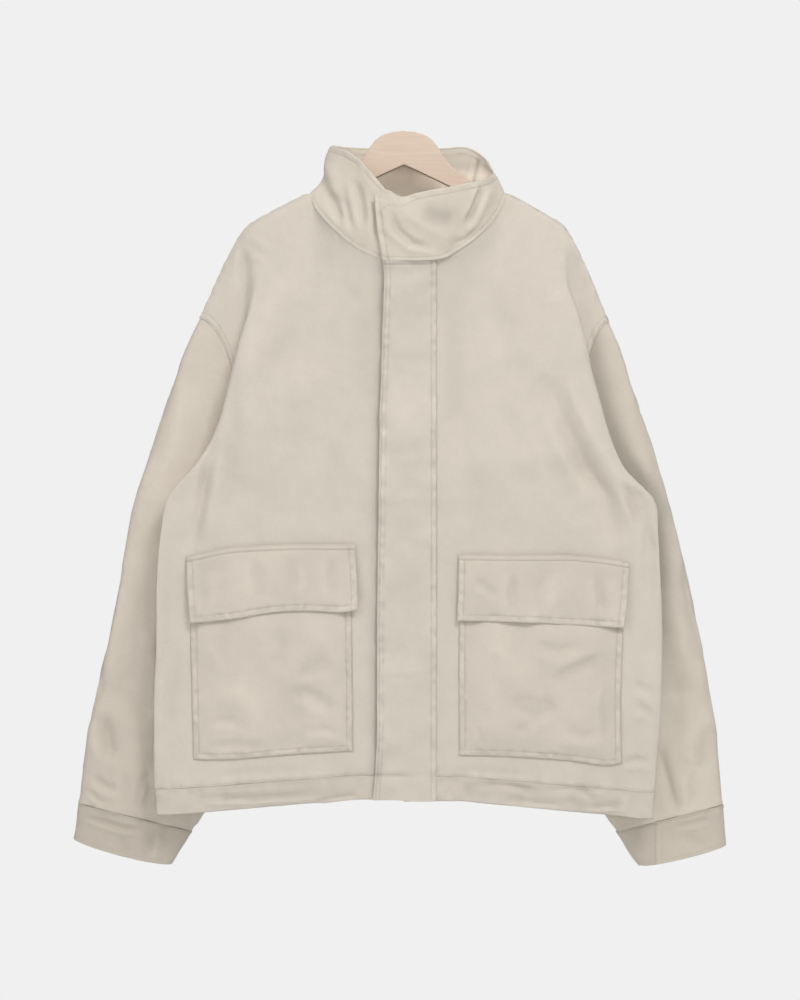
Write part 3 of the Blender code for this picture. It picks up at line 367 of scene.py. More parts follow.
COLLAR_CREASES = [
    ([(-19, -100), (-8, -128), (10, -144), (40, -152)], 5, -5.0, .35),
    ([(-14, -88), (12, -114), (48, -134), (70, -142)], 8, 3.6, .2),
    ([(99, -68), (93, -84), (85, -104), (76, -122)], 4.2, -5.4, .35),
    ([(108, -70), (99, -92), (90, -114), (78, -136)], 5, 3.2, .2),
    ([(54, -146), (78, -140), (94, -122)], 6, -4.4, .4),
    ([(20, -104), (44, -112), (66, -118)], 14, -4.6, .3),
    ([(-98, -34), (-90, -60), (-80, -92)], 7, 3.0, .5),
    ([(-94, -74), (-86, -98), (-76, -120)], 5, -3.2, .4),
    ([(-64, -58), (-54, -92), (-50, -128)], 6, -3.2, .5),
    ([(-40, -76), (-33, -112), (-34, -150)], 5, -3.0, .4),
    ([(-76, -84), (-70, -108), (-60, -134)], 4, -2.4, .4),
]
COLLAR_BACK_CREASES = [
    ([(95, -30), (90, -44), (85, -62), (81, -80)], 2.6, 5.0, .3),
    ([(20, -30), (26, -50), (22, -76)], 14, -2.4, .4),
    ([(-44, -30), (-38, -54), (-42, -78)], 13, -2.4, .4),
]
# What the photo shows of the patch pockets: the outline of each, as x, z places.
POCKET_OUTLINES = {
    "flap_right": ([(-270.6, -533), (-218, -522), (-151, -518), (-61.2, -517.2)],
                   [(-265.4, -615.4), (-221.2, -611.3), (-165, -602.9), (-123.7, -600.4),
                    (-67.5, -601.2), (-57.1, -599.1)],
                   [(-270.6, -533), (-269, -570), (-265.4, -615.4)],
                   [(-61.2, -517.2), (-58.4, -560), (-57.1, -599.1)]),
    "pocket_right": ([(-267.4, -549), (-218, -541), (-151, -537), (-66.5, -536)],
                     [(-262.6, -786), (-218, -786), (-151.2, -780.4), (-63.1, -774.9)],
                     [(-267.4, -549), (-265.4, -656), (-263.4, -742), (-262.6, -786)],
                     [(-66.5, -536), (-63.9, -667), (-63.1, -774.9)]),
    "flap_left": ([(68.1, -530.1), (128.8, -531.2), (232.1, -532.9), (281, -540.5)],
                  [(66.2, -613), (162.5, -615.2), (218.2, -618.6), (274, -621.6)],
                  [(68.1, -530.1), (67.6, -575), (66.2, -613)],
                  [(281, -540.5), (277.5, -580), (274, -621.6)]),
    "pocket_left": ([(70, -546), (128.8, -547), (232.1, -549), (276, -555.5)],
                    [(68.1, -780.4), (151.2, -783.2), (218.2, -788.8), (254.5, -793.2),
                     (271.2, -790.6)],
                    [(70, -546), (68.1, -640), (68.1, -780.4)],
                    [(276, -555.5), (272.5, -640), (270, -723), (271.2, -790.6)]),
}
POCKET_CREASES = [
    ([(-148, -706), (-123, -701), (-98, -715), (-87, -732)], 8, -3.4, .5),
    ([(-136, -682), (-112, -672), (-84, -664)], 8, -3.0, .5),
    ([(-244, -741), (-226, -738), (-206, -734)], 7, -2.6, .5),
    ([(-230, -628), (-224, -652), (-222, -680)], 8, -2.4, .5),
    ([(-220, -692), (-200, -716), (-176, -748)], 12, 2.6, .3),
    ([(-160, -620), (-150, -646), (-160, -676)], 9, -2.0, .5),
    ([(-250, -770), (-210, -766), (-160, -770)], 5, -1.8, .6),
    ([(-130, -750), (-100, -748), (-74, -756)], 6, -2.2, .5),
    ([(250, -656), (210, -675), (182, -692)], 8, -3.2, .5),
    ([(255, -686), (252, -715), (250, -768)], 5, -3.6, .5),
    ([(130, -713), (166, -723), (194, -719)], 9, -3.0, .5),
    ([(140, -756), (154, -742), (170, -729)], 6, -2.4, .5),
    ([(92, -742), (95, -756), (99, -772)], 4, -2.2, .5),
    ([(110, -640), (124, -664), (122, -694)], 10, 2.2, .3),
    ([(196, -748), (220, -756), (244, -752)], 7, -2.4, .5),
    ([(160, -640), (190, -650), (222, -642)], 9, -2.0, .5),
]
FLAP_CREASES = [
    ([(88, -562), (102, -571), (118, -581)], 6, -2.4, .5),
    ([(136, -550), (134, -578), (134, -606)], 6, -2.6, .5),
    ([(240, -553), (244, -580), (247, -608)], 6, -2.4, .5),
    ([(180, -552), (184, -580), (178, -604)], 8, 1.8, .4),
    ([(-185, -534), (-182, -560), (-181, -590)], 8, -2.4, .5),
    ([(-88, -530), (-91, -560), (-86, -586)], 6, -2.2, .5),
    ([(-236, -546), (-240, -572), (-232, -600)], 8, 1.8, .4),
    ([(-130, -540), (-128, -566), (-134, -588)], 7, 1.6, .4),
]
# Where the free edge of the fly lies: z, x.
FLY_EDGE = [(-164, -26), (-182, -24.5), (-220, -25.5), (-350, -30), (-462, -31.5), (-612, -34),
            (-760, -34), (-800, -36), (-835, -39)]

# ---------------------------------------------------------------- light and camera, metres
LAMPS = [                   # name, place, size, watts
    ("key", (1.1, -2.3, 2.0), 1.0, 52), ("side", (-2.4, -2.2, 1.0), 1.6, 20),
    ("front", (0.05, -6.6, -0.3), 0.6, 74), ("behind", (0.6, 2.8, 1.3), 1.8, 40)]
LAMPS_AIM = (0, 0, -0.45)
SENSOR = 36.0               # millimetres
PICTURE_HEIGHT = 1.25       # what the picture shows from top to bottom, at the depth of the cloth
PICTURE_PLANE = -0.015      # that depth
CAMERA_AWAY = 6.0


# ---------------------------------------------------------------- small helpers
def smooth(rows, key, column):
    """The column's value at a key, on a curve through the rows that never overshoots them."""
    keys = [row[0] for row in rows]
    if keys[0] > keys[-1]:
        rows, keys = rows[::-1], keys[::-1]
    values = [row[column] for row in rows]
    if key <= keys[0]:
        return values[0]
    if key >= keys[-1]:
        return values[-1]
    slopes = [(values[i + 1] - values[i]) / (keys[i + 1] - keys[i]) for i in range(len(keys) - 1)]
    i = max(n for n in range(len(keys) - 1) if keys[n] <= key)

    def tangent(n):
        if n == 0 or n == len(slopes):
            return slopes[min(n, len(slopes) - 1)]
        before, after = slopes[n - 1], slopes[n]
        return 0.0 if before * after <= 0 else 2 * before * after / (before + after)

    span = keys[i + 1] - keys[i]
    s = (key - keys[i]) / span
    start, end = tangent(i) * span, tangent(i + 1) * span
    rise = values[i + 1] - values[i]
    return values[i] + s * (start + s * (3 * rise - 2 * start - end + s * (start + end - 2 * rise)))


def mix(a, b, share):
    return a + (b - a) * share


def ease(share):
    share = min(1.0, max(0.0, share))
    return share * share * (3 - 2 * share)


def bezier(a, b, c, d, s):
    r = 1 - s
    return a * r ** 3 + b * 3 * r * r * s + c * 3 * r * s * s + d * s ** 3


def divided(marks, counts):
    """Values from each mark to the next in that many equal steps, both ends included."""
    values = [marks[0]]
    for start, end, count in zip(marks, marks[1:], counts):
        values += [mix(start, end, (n + 1) / count) for n in range(count)]
    return values


# ---------------------------------------------------------------- the sleeve's surface
def sleeve_point(side, along, around, front):
    """A point of the sleeve: along it from the armhole, and around from its outer fold (0) to
    its inner one (1), over the front or over the back."""
    outer_rows = SLEEVE_OUTER[side]
    z = mix(outer_rows[0][0], outer_rows[-1][0], along)
    depths = SLEEVE_DEPTH["rows"]
    outer = Vector((smooth(outer_rows, z, 1), smooth(depths, along, 1), z))
    rows = SLEEVE_INNER["rows"]
    shift = (SIDE_SEAM[side][0][1] - rows[0][1]) * (1 - ease(along))
    inner = Vector((smooth(rows, along, 1) + shift, smooth(rows, along, 3),
                    smooth(rows, along, 2)))
    rise = math.sin(math.pi * around)
    bow, swell = (rise ** 1.2, rise ** 0.5) if around < 0.5 else (rise ** 2, rise ** 0.75)
    point = outer.lerp(inner, (1 - math.cos(math.pi * around)) / 2)
    point.x -= ARMHOLE_BOW[side] * (1 - min(1.0, along / BOW_REACH)) ** 2 * bow
    deep_front = smooth(depths, along, 2)
    deep_front = mix(max(FOLD_RADIUS, deep_front), deep_front, ease(2 * around))
    point.y += (-deep_front if front else smooth(depths, along, 3)) * swell
    return point


def turn_of(share):
    """How far around the sleeve a row of the armhole lies, by its share of the height."""
    return math.acos(1 - 2 * share) / math.pi


def armhole_seam(side, share, front):
    return sleeve_point(side, 0.0, turn_of(share), front)


# ---------------------------------------------------------------- the body's surface
def column(name, side):
    """A FRONT_LINES row's top and low distance on a side."""
    row = next(r for r in FRONT_LINES["rows"] if r[0] == name)
    names = FRONT_LINES["columns"]
    return row[names.index("top_" + side)], row[names.index("low_" + side)]


def top_height(out, side, neck):
    """Height of the neck seam or shoulder ridge at a distance from the middle."""
    edge = neck[side][-1][0]
    if out <= edge:
        return smooth(neck[side], out, 1)
    return smooth(SHOULDER[side], out, 1)


def fold_out(z, side):
    return smooth(FOLD[side], z, 1)


def front_marks(share, side):
    """Distances of the front's vertical lines on the row at that share of the armhole."""
    part = ease(share) if share < 1 else 1.0
    top_roll = SHOULDER[side][-1][0] - 1.0
    z_roll = mix(top_height(top_roll, side, NECK_FRONT), UNDERARM_Z, share)
    roll = fold_out(z_roll, side) - mix(TOP_ROLL_WIDTH, ROLL_WIDTH, min(1.0, share / 0.15))
    marks = [0.0]
    for name in ("fly", "pocket_in", "neck_low", "neck_side", "neck"):
        top, low = column(name, side)
        marks.append(mix(top, low, part))
    neck = marks[NECK_MARK]
    low_pocket = column("pocket_out", side)[1]
    low_roll = fold_out(UNDERARM_Z, side) - ROLL_WIDTH
    far_ratio = (low_pocket - column("neck", side)[1]) / (
        low_roll - column("neck", side)[1])
    ratio = mix(0.62, far_ratio, share ** 2)
    marks += [mix(neck, roll, ratio), roll]
    return marks


def line_height(name, side, out):
    """Height of one of the body's horizontal lines at a distance from the middle."""
    names = BODY_LINES["columns"]
    row = next(r for r in BODY_LINES["rows"] if r[0] == name)
    inner, outer = row[names.index(side + "_in")], row[names.index(side + "_out")]
    near = column("pocket_in", side)[1]
    far = column("pocket_out", side)[1]
    centre = -1.0 if name.startswith("hem") else 0.0
    share = (out - near) / (far - near)
    if share < 0:
        return inner - centre * share * 2.0
    return mix(inner, outer, min(1.15, share))


def main_depth(side, out, z, drop, top_y, on_shoulder, front):
    """Depth of a panel's flat part: it leaves the seam above it and hangs to its full depth."""
    full = smooth(FRONT_DEPTH if front else BACK_DEPTH, z, 1)
    flatter = 1 - 0.12 * (out / 300) ** 2
    share = 1 - math.exp(-max(0.0, drop) / HANG_DROP)
    if on_shoulder:
        top_y = -ROLL if front else ROLL
        share = 1 - math.exp(-max(0.0, drop - ROLL) / HANG_DROP)
    y = mix(top_y, full * flatter, share)
    if not front:
        into = ease((out - RECESS["from_out"]) / (RECESS["to_out"] - RECESS["from_out"]))
        below = ease((RECESS["from_z"] - z) / (RECESS["from_z"] - RECESS["to_z"]))
        y = mix(y, smooth(SIDE_SEAM[side], z, 2) + RECESS["behind_seam"], into * below)
    return y


def roll_angles(shares, side, front):
    """Angles round the shoulder's roll for the rows that lie on it, in degrees."""
    start = SHOULDER_SEAM_TURN[side] if front else -SHOULDER_SEAM_TURN[side]
    last = shares.index(ROLL_SHARE)
    return [mix(start, 90.0, n / last) for n in range(last + 1)]


def back_neck(edge):
    return [0.0] + [edge * share for share in BACK_NECK]


def panel_columns(side, share, front):
    """Distances of every column of a panel on one armhole row, up to the roll."""
    counts = [row[-1] for row in FRONT_LINES["rows"]]
    if front:
        return divided(front_marks(share, side), counts)
    marks = front_marks(share, side)
    seam = armhole_seam(side, share, front).x
    roll = mix(front_marks(0.0, side)[-1], seam - BACK_ROLL_WIDTH, ease(share / 0.1))
    neck = marks[NECK_MARK]
    middle = mix(marks[NECK_MARK + 1], mix(neck, roll, 0.6), ease(share / 0.1))
    return back_neck(neck) + divided([neck, middle, roll], BACK_COUNTS)


def strip(start, end, turn, share, front):
    """Points from the roll to the seam, past the start: the front turns back at its fold."""
    if front:
        first = Vector((mix(start.x, turn, 1.2), start.y - 1.0, mix(start.z, end.z, 0.15)))
        behind = Vector((turn + 7, mix(start.y, end.y, 0.1), mix(start.z, end.z, 0.7)))
        beside = Vector((turn - 5, end.y - 1.0, mix(start.z, end.z, 0.5)))
        second = behind.lerp(beside, ease((end.x - turn + 4) / 30))
    else:
        lean = (end - start) / 3
        first, second = start + Vector((lean.x, 0, lean.z)), end - lean
    ridge = ease(1 - share / 0.06)
    over = Vector((mix(start.x, end.x, 0.22), start.y, mix(start.z, end.z, 0.1)))
    down = Vector((mix(start.x, end.x, 0.68), end.y, mix(start.z, end.z, 0.62)))
    first, second = first.lerp(over, ridge), second.lerp(down, ridge)
    return [bezier(start, first, second, end, n / STRIP_FACES) for n in range(1, STRIP_FACES + 1)]


def armhole_rows(side, front):
    """Rows of surface points (out, y, z) from the neck and shoulder down to the underarm."""
    shares = ARM_SHARES_FRONT if front else ARM_SHARES_BACK
    neck = NECK_FRONT if front else NECK_BACK
    angles = roll_angles(shares, side, front)
    tops = panel_columns(side, 0.0, front)
    neck_edge = neck[side][-1][0] - 0.01
    rows = []
    for number, share in enumerate(shares):
        row = []
        for out, top_out in zip(panel_columns(side, share, front), tops):
            shoulder = top_out > neck_edge
            top = smooth(SHOULDER[side] if shoulder else neck[side], top_out, 1)
            if number < len(angles):
                angle = math.radians(angles[number])
                drop = ROLL * (1 - math.cos(angle))
                if shoulder:
                    y = (-ROLL if front else ROLL) * math.sin(angle)
                    row.append(Vector((out, y, top - drop)))
                    continue
                drop = max(0.0, share) * (top - UNDERARM_Z)
            else:
                drop = share * (top - UNDERARM_Z)
            z = top - drop
            top_y = smooth(neck[side], top_out, 2)
            y = main_depth(side, out, z, drop, top_y, shoulder, front)
            row.append(Vector((out, y, z)))
        start = row[-1]
        end = armhole_seam(side, share, front)
        turn = fold_out(start.z, side)
        rows.append(row + strip(start, end, turn, share, front))
    return rows


def lower_row(side, front, before, name, share):
    """Surface points at a share of the way from one of the body's horizontal lines to the next."""
    def height(line, out):
        return UNDERARM_Z if line == "underarm" else line_height(line, side, out)

    seam = SIDE_SEAM[side]
    seam_start = seam[0][0] if before == "underarm" else height(before, BEYOND_POCKETS)
    seam_z = mix(seam_start, height(name, BEYOND_POCKETS), share)
    end = Vector((smooth(seam, seam_z, 1), smooth(seam, seam_z, 2), seam_z))
    edge_z = mix(height(before, BEYOND_POCKETS), height(name, BEYOND_POCKETS), share)
    edge = fold_out(edge_z, side)
    row = []
    for out, level_out in zip(body_columns(side, front, edge, end.x), body_columns(side, front)):
        z = mix(height(before, level_out), height(name, level_out), share)
        drop = top_height(min(out, SHOULDER_END), side, NECK_FRONT) - z
        row.append(Vector((out, main_depth(side, out, z, drop, 0.0, False, front), z)))
    return row + strip(row[-1], end, edge, 1.0, front)


def lower_rows(side, front, first, last):
    """Rows of surface points from one of the body's horizontal lines down to another."""
    lines = [("underarm", 0)] + [(row[0], row[-1]) for row in BODY_LINES["rows"]]
    names = [name for name, _ in lines]
    lines = lines[names.index(first):names.index(last) + 1]
    rows = [lower_row(side, front, first, lines[1][0], 0.0)]
    for (before, _), (name, count) in zip(lines, lines[1:]):
        rows += [lower_row(side, front, before, name, (n + 1) / count) for n in range(count)]
    return rows


def body_columns(side, front, edge=None, seam_out=None):
    """Distances of every column of a panel below the underarm, up to the roll. With no place
    given for the folded edge and the side seam, they are those at the underarm."""
    marks = front_marks(1.0, side)
    if edge is None:
        edge, seam_out = marks[-1] + ROLL_WIDTH, SIDE_SEAM[side][0][1]
    if front:
        counts = [row[-1] for row in FRONT_LINES["rows"]]
        return divided(marks[:-1] + [edge - ROLL_WIDTH], counts)
    roll = seam_out - BACK_SIDE_WIDTH
    neck = marks[NECK_MARK]
    return back_neck(neck) + divided([neck, mix(neck, roll, 0.6), roll], BACK_COUNTS)


def placed(rows, side):
    """The rows in real places: x signed by the side."""
    sign = SIDES[side]
    return [[Vector((sign * p.x, p.y, p.z)) for p in row] for row in rows]


def panel_rows(side, front):
    """(rows of a panel down to the hem seam, rows of its hem band)."""
    upper = armhole_rows(side, front)
    lower = lower_rows(side, front, "underarm", "hem_seam")
    blended = upper[:-1] + lower
    band = lower_rows(side, front, "hem_seam", "hem")
    return placed(blended, side), placed(band, side)


def closed_ring(place):
    """Points of a ring, down over the front and back up over the back."""
    front = [place(turn_of(share), True) for share in ARM_SHARES_FRONT]
    back = [place(turn_of(share), False) for share in ARM_SHARES_BACK]
    return front + back[::-1][1:]


def cuff_point(side, down, around, front):
    """A point of the cuff: down from its sewn edge, and around like the sleeve."""
    sewn, open_edge = CUFF[side]
    values = [mix(a, b, down) for a, b in zip(sewn[1:], open_edge[1:])]
    outer = Vector((values[0], 12, values[1]))
    inner = Vector((values[2], mix(11, 8, down), values[3]))
    point = outer.lerp(inner, (1 - math.cos(math.pi * around)) / 2)
    bend = math.sin(math.pi * around)
    point.y += (-CUFF_DEPTH if front else CUFF_DEPTH) * bend ** 0.75
    point.z -= values[4] * bend
    return point


def collar_columns(side, front):
    """Seam and top points of the collar over a panel's columns, from the middle to the shoulder."""
    neck = (NECK_FRONT if front else NECK_BACK)[side]
    tops = COLLAR_TOP[("front_" if front else "back_") + side]
    edge = neck[-1][0] + 0.01
    found = []
    for out in [o for o in panel_columns(side, 0.0, front) if o <= edge]:
        seam = Vector((out, smooth(neck, out, 2), smooth(neck, out, 1)))
        top = Vector((smooth(tops, out, 1), smooth(tops, out, 2), smooth(tops, out, 3)))
        found.append((seam, top))
    return found


def column_index(name):
    """Index of a vertical line among a front's columns."""
    total = 0
    for row in FRONT_LINES["rows"]:
        total += row[-1]
        if row[0] == name:
            return total
    return 0


def collar_swell(direction, share):
    """How far the collar stands out of a straight line at a share of the way up to its top."""
    even = math.sin(math.pi * share)
    low = math.sin(math.pi * share ** 0.6) ** 3
    ends = COLLAR_SWELL["front" if direction.y < 0 else "back"] * even
    sides = COLLAR_SWELL["left" if direction.x > 0 else "right"] * low
    beside = ease((direction.y + 0.28) / 0.16)
    return ends * direction.y ** 2 + sides * direction.x ** 2 * beside


def collar_rows():
    """The stand collar: one strip round the neck whose left end laps over the right one."""
    strips = []
    for side, front in (("right", True), ("right", False), ("left", False), ("left", True)):
        sign = SIDES[side]
        part = [(Vector((sign * a.x, a.y, a.z)), Vector((sign * b.x, b.y, b.z)))
                for a, b in collar_columns(side, front)]
        inwards = (side == "left") == front
        strips.append(part[::-1] if inwards else part)
    line = strips[0] + strips[1][1:] + strips[2][1:] + strips[3][1:]
    lap = [p.copy() for p in line[-1]]
    ends = []
    for x, top in zip(COLLAR_LAP_X, COLLAR_LAP_TOP):
        ends.append((Vector((x, lap[0].y, lap[0].z)), Vector(top)))
    line += ends
    lap_start = len(line) - len(ends) - 2 * COLLAR_LAP_BLEND
    rows = []
    for r in range(COLLAR_ROWS + 1):
        share = r / COLLAR_ROWS
        row = []
        for n, (seam, top) in enumerate(line):
            point = seam.lerp(top, share)
            direction = (point - Vector((0, -8, point.z))).normalized()
            point += direction * collar_swell(direction, share)
            point.y -= COLLAR_LAP_LIFT * ease((n - lap_start) / (COLLAR_LAP_BLEND + 1))
            row.append(point)
        rows.append(row)
    return rows


# ---------------------------------------------------------------- grids of points, millimetres
def spline(points, places, wanted, closed):
    """Points at the wanted distances along a line of points, on a smooth curve through them."""
    if closed:
        span = places[-1]
        points = np.vstack([points[-2:-1], points, points[1:2]])
        places = np.concatenate([[places[-2] - span], places, [span + places[1]]])
    slopes = np.gradient(points, places, axis=0)
    i = np.clip(np.searchsorted(places, wanted, side="right") - 1, 0, len(places) - 2)
    span = (places[i + 1] - places[i])[:, None]
    s = (wanted - places[i])[:, None] / span
    start, end = slopes[i] * span, slopes[i + 1] * span
    rise = points[i + 1] - points[i]
    return points[i] + s * (start + s * (3 * rise - 2 * start - end + s * (start + end - 2 * rise)))


def respaced(grid, axis, step, near_start=(), near_end=(), closed=False):
    """The grid with its lines across an axis a step apart, and more at distances from its ends."""
    lines = np.moveaxis(grid, axis, 0)
    lengths = np.linalg.norm(np.diff(lines[:, :, :3], axis=0), axis=2) + 1e-6
    places = np.vstack([np.zeros(lengths.shape[1]), np.cumsum(lengths, axis=0)])
    starts, ends = np.array((0.0,) + tuple(near_start)), np.array((0.0,) + tuple(near_end))
    edges = starts[-1] + ends[-1]
    count = max(2, int(round((places[-1].max() - edges) / step)))
    made = []
    for j, total in enumerate(places[-1]):
        shrink = min(1.0, total / (2 * edges)) if edges else 1.0
        first, last = starts * shrink, (total - ends * shrink)[::-1]
        even = np.linspace(first[-1], last[0], count + 1)[1:-1]
        wanted = np.concatenate([first, even, last])
        made.append(spline(lines[:, j], places[:, j], wanted, closed))
    return np.moveaxis(np.stack(made, axis=1), 0, axis)


def facing(grid, towards, closed=False):
    """The surface's normals, on the side that the directions point to."""
    wide = np.concatenate([grid[:, -2:-1], grid, grid[:, 1:2]], axis=1) if closed else grid
    found = np.cross(np.gradient(wide, axis=1), np.gradient(wide, axis=0))
    found = found[:, 1:-1] if closed else found
    found = found / (np.linalg.norm(found, axis=2, keepdims=True) + 1e-9)
    return found if (found * towards).sum() > 0 else -found


def from_edges(grid):
    """How far each point lies from each of the grid's edges, along its lines."""
    across = np.linalg.norm(np.diff(grid, axis=1), axis=2)
    across = np.concatenate([np.zeros((len(grid), 1)), np.cumsum(across, axis=1)], axis=1)
    down = np.linalg.norm(np.diff(grid, axis=0), axis=2)
    down = np.concatenate([np.zeros((1, grid.shape[1])), np.cumsum(down, axis=0)])
    return {"start": across, "end": across[:, -1:] - across, "top": down,
            "bottom": down[-1:] - down}


def waves(seed, x, y, size):
    """Smooth random waves from -1 to 1, of about that size, the same on each run."""
    lattice = np.random.RandomState(seed).uniform(-1, 1, (61, 61))
    u, v = x / size + 500, y / size + 500
    i, j = np.floor(u).astype(int), np.floor(v).astype(int)
    s, t = u - i, v - j
    s, t = s * s * s * (s * (6 * s - 15) + 10), t * t * t * (t * (6 * t - 15) + 10)
    i, j = i % 60, j % 60
    low = lattice[i, j] * (1 - s) + lattice[i + 1, j] * s
    high = lattice[i, j + 1] * (1 - s) + lattice[i + 1, j + 1] * s
    return low * (1 - t) + high * t


def soft(share):
    share = np.clip(share, 0.0, 1.0)
    return share * share * (3 - 2 * share)


def bell(distance, wide):
    """1 at no distance, fading smoothly to about a third at that width and none at twice it."""
    return np.exp(-(distance / wide) ** 2)


def crease(x, z, row):
    """Height of one crease: a soft ridge or trough along a line of places, uneven in width and
    depth, with a lower fold of the other kind beside it."""
    line, half, tall, beside = row
    best = np.full(x.shape, 1e9)
    side, share = np.zeros(x.shape), np.zeros(x.shape)
    for n, ((x1, z1), (x2, z2)) in enumerate(zip(line, line[1:])):
        dx, dz = x2 - x1, z2 - z1
        along = np.clip(((x - x1) * dx + (z - z1) * dz) / (dx * dx + dz * dz), 0, 1)
        away_x, away_z = x - x1 - along * dx, z - z1 - along * dz
        away = np.hypot(away_x, away_z)
        nearer = away < best
        best = np.where(nearer, away, best)
        side = np.where(nearer, np.sign(away_x * dz - away_z * dx), side)
        share = np.where(nearer, (n + along) / (len(line) - 1), share)
    seed = int(abs(line[0][0] * 3 + line[0][1] * 7)) % 997
    wide = half * (1 + 0.3 * waves(seed, x, z, 45.0))
    deep = tall * (1 + 0.35 * waves(seed + 1, x, z, 60.0))
    fade = soft(share / 0.3) * soft((1 - share) / 0.3)
    near = best / wide
    return deep * fade * (bell(near, 1.0) - beside * bell(near * side - 1.6, 1.0))


def all_creases(rows, x, z):
    return sum((crease(x, z, row) for row in rows), np.zeros(x.shape))


def large_folds(rows, x, z):
    """The folds that the solids have too."""
    height = np.zeros(x.shape)
    for _, x1, z1, x2, z2, half, tall in rows:
        dx, dz = x2 - x1, z2 - z1
        share = ((x - x1) * dx + (z - z1) * dz) / (dx * dx + dz * dz)
        inside = np.clip(share, 0, 1)
        away = np.hypot(x - x1 - inside * dx, z - z1 - inside * dz)
        height += tall * bell(away, half) * soft((1.25 - abs(2 * share - 1)) / 0.5)
    return height


def hang(seed, x, z, size, tall):
    """The slight unevenness of hung, washed cloth: longer down than across."""
    return tall * (waves(seed, x, z * 0.45, size) + 0.45 * waves(seed + 1, x, z * 0.7, size * 0.42)
                   + 0.16 * waves(seed + 2, x * 0.8, z, size * 0.2))


def seam_relief(seed, away, along, rows, lap=0.5):
    """A sewn edge: it dips at the seam, the layers turned under it stand up a little, and each
    row of stitching draws the cloth into small puckers."""
    rows = rows or (0.0,)
    height = -0.5 * bell(away, 0.8) + lap * soft((rows[-1] + 4 - away) / 4)
    uneven = 1 + 0.7 * waves(seed, along, away * 0.3, 9.0)
    for row in rows:
        if row:
            height -= 0.5 * uneven * bell(away - row, 1.3)
    middle = (rows[0] + rows[-1]) / 2
    return height + 0.75 * waves(seed + 5, along, away * 0.35, 8.0) * bell(away - middle, 9)


def seam_wear(seed, away, along, rows, edge=0.10, row_dark=0.10):
    """How dark the dye stays by a sewn edge: more so down in the seam and in each row of
    stitching, and less on the ridges between the puckers, which washing rubs pale."""
    shade = -edge * bell(away, 1.0)
    for row in rows:
        uneven = 1 + 0.6 * waves(seed, along, away * 0.2, 6.0)
        shade -= row_dark * uneven * bell(away - row, DYE_LINE)
    if rows:
        middle = (rows[0] + rows[-1]) / 2
        ridges = waves(seed + 5, along, away * 0.35, 8.0)
        shade += 0.055 * ridges * bell(away - middle, 7)
    return shade


def fold_shade_and_wear(height):
    """Painted shade and light on folds: troughs are painted darker and ridges paler, partly as dye
    rubbed pale on the ridges by washing.
    """
    return np.clip(0.018 * height, -0.08, 0.05)


def at_distance(grid, away, edge, inset):
    """The line of points that lies at a distance in, or at one for each line, from an edge."""
    if edge in ("start", "end"):
        lines, gaps = grid, away[edge]
    else:
        lines, gaps = np.swapaxes(grid, 0, 1), away[edge].T
    if edge in ("end", "bottom"):
        lines, gaps = lines[:, ::-1], gaps[:, ::-1]
    insets = np.broadcast_to(inset, len(lines))
    return np.array([[np.interp(inset, gap, line[:, c]) for c in range(line.shape[1])]
                     for line, gap, inset in zip(lines, gaps, insets)])


# ---------------------------------------------------------------- one piece's face
class Face:
    """The face of one piece of cloth while it is shaped: a grid of points with its normals, how far
    each point lies from each edge, how high the cloth stands there, and how much darker or paler
    its colour is made, by dye worn at seams and stitching and by painted shade and light."""

    def __init__(self, points, towards, closed=False):
        self.points, self.towards, self.closed = points, towards, closed
        self.height, self.wear_and_shade = np.zeros(points.shape[:2]), np.zeros(points.shape[:2])
        self.measure()

    def measure(self):
        self.x, self.y, self.z = np.moveaxis(self.points, 2, 0)
        self.normals = facing(self.points, self.towards, self.closed)
        self.away = from_edges(self.points)

    def free_edges(self):
        """How far each point lies from the nearest edge but the top one."""
        sides = np.minimum(self.away["start"], self.away["end"])
        return np.minimum(sides, self.away["bottom"])

    def seam(self, seed, edge, along, rows=(), lap=0.5, edge_dark=0.10, row_dark=0.10):
        """A sewn edge, with its rows of stitching."""
        away, along = self.away[edge], self.away[along]
        self.height += seam_relief(seed, away, along, rows, lap)
        self.wear_and_shade += seam_wear(seed, away, along, rows, edge_dark, row_dark)

    def stitched(self, away, uneven, deep, wide, dark):
        """A row of stitching draws the cloth in, and the dye stays darker in it."""
        self.height -= deep * uneven * bell(away, wide)
        self.wear_and_shade -= dark * uneven * bell(away, DYE_LINE)

    def turned(self, away, drop, dark=0.0):
        """A turned edge rounds away over its last millimetre."""
        self.height -= drop * bell(away, EDGE_ROUND)
        self.wear_and_shade -= dark * bell(away, EDGE_DARK)

    def lift(self):
        """Raises the points by the height, and measures the face again."""
        self.points = self.points + self.normals * self.height[:, :, None]
        if self.closed:
            self.points[:, -1], self.wear_and_shade[:, -1] = self.points[:, 0], self.wear_and_shade[:, 0]
        self.measure()

    def row(self, edge, inset):
        """The points and normals of a row of stitches at a distance in from an edge."""
        return [at_distance(grid, self.away, edge, inset) for grid in (self.points, self.normals)]


def tube(rings, step_down, bottom, step_round):
    """The face of a closed tube of cloth through rings of points."""
    points = respaced(respaced(rings, 0, step_down, NEAR, bottom), 1, step_round, closed=True)
    return Face(points, points - points[:, :-1].mean(axis=1, keepdims=True), True)


def grid_of(rows):
    """Rows of points as a grid of x, y, z."""
    return np.array([[tuple(p) for p in row] for row in rows])


# ---------------------------------------------------------------- making the pieces
STITCHES = {}


def finished(obj, material):
    obj.data.materials.clear()
    obj.data.materials.append(material)
    bpy.context.scene.collection.objects.link(obj)
    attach(obj, "root")
    return obj


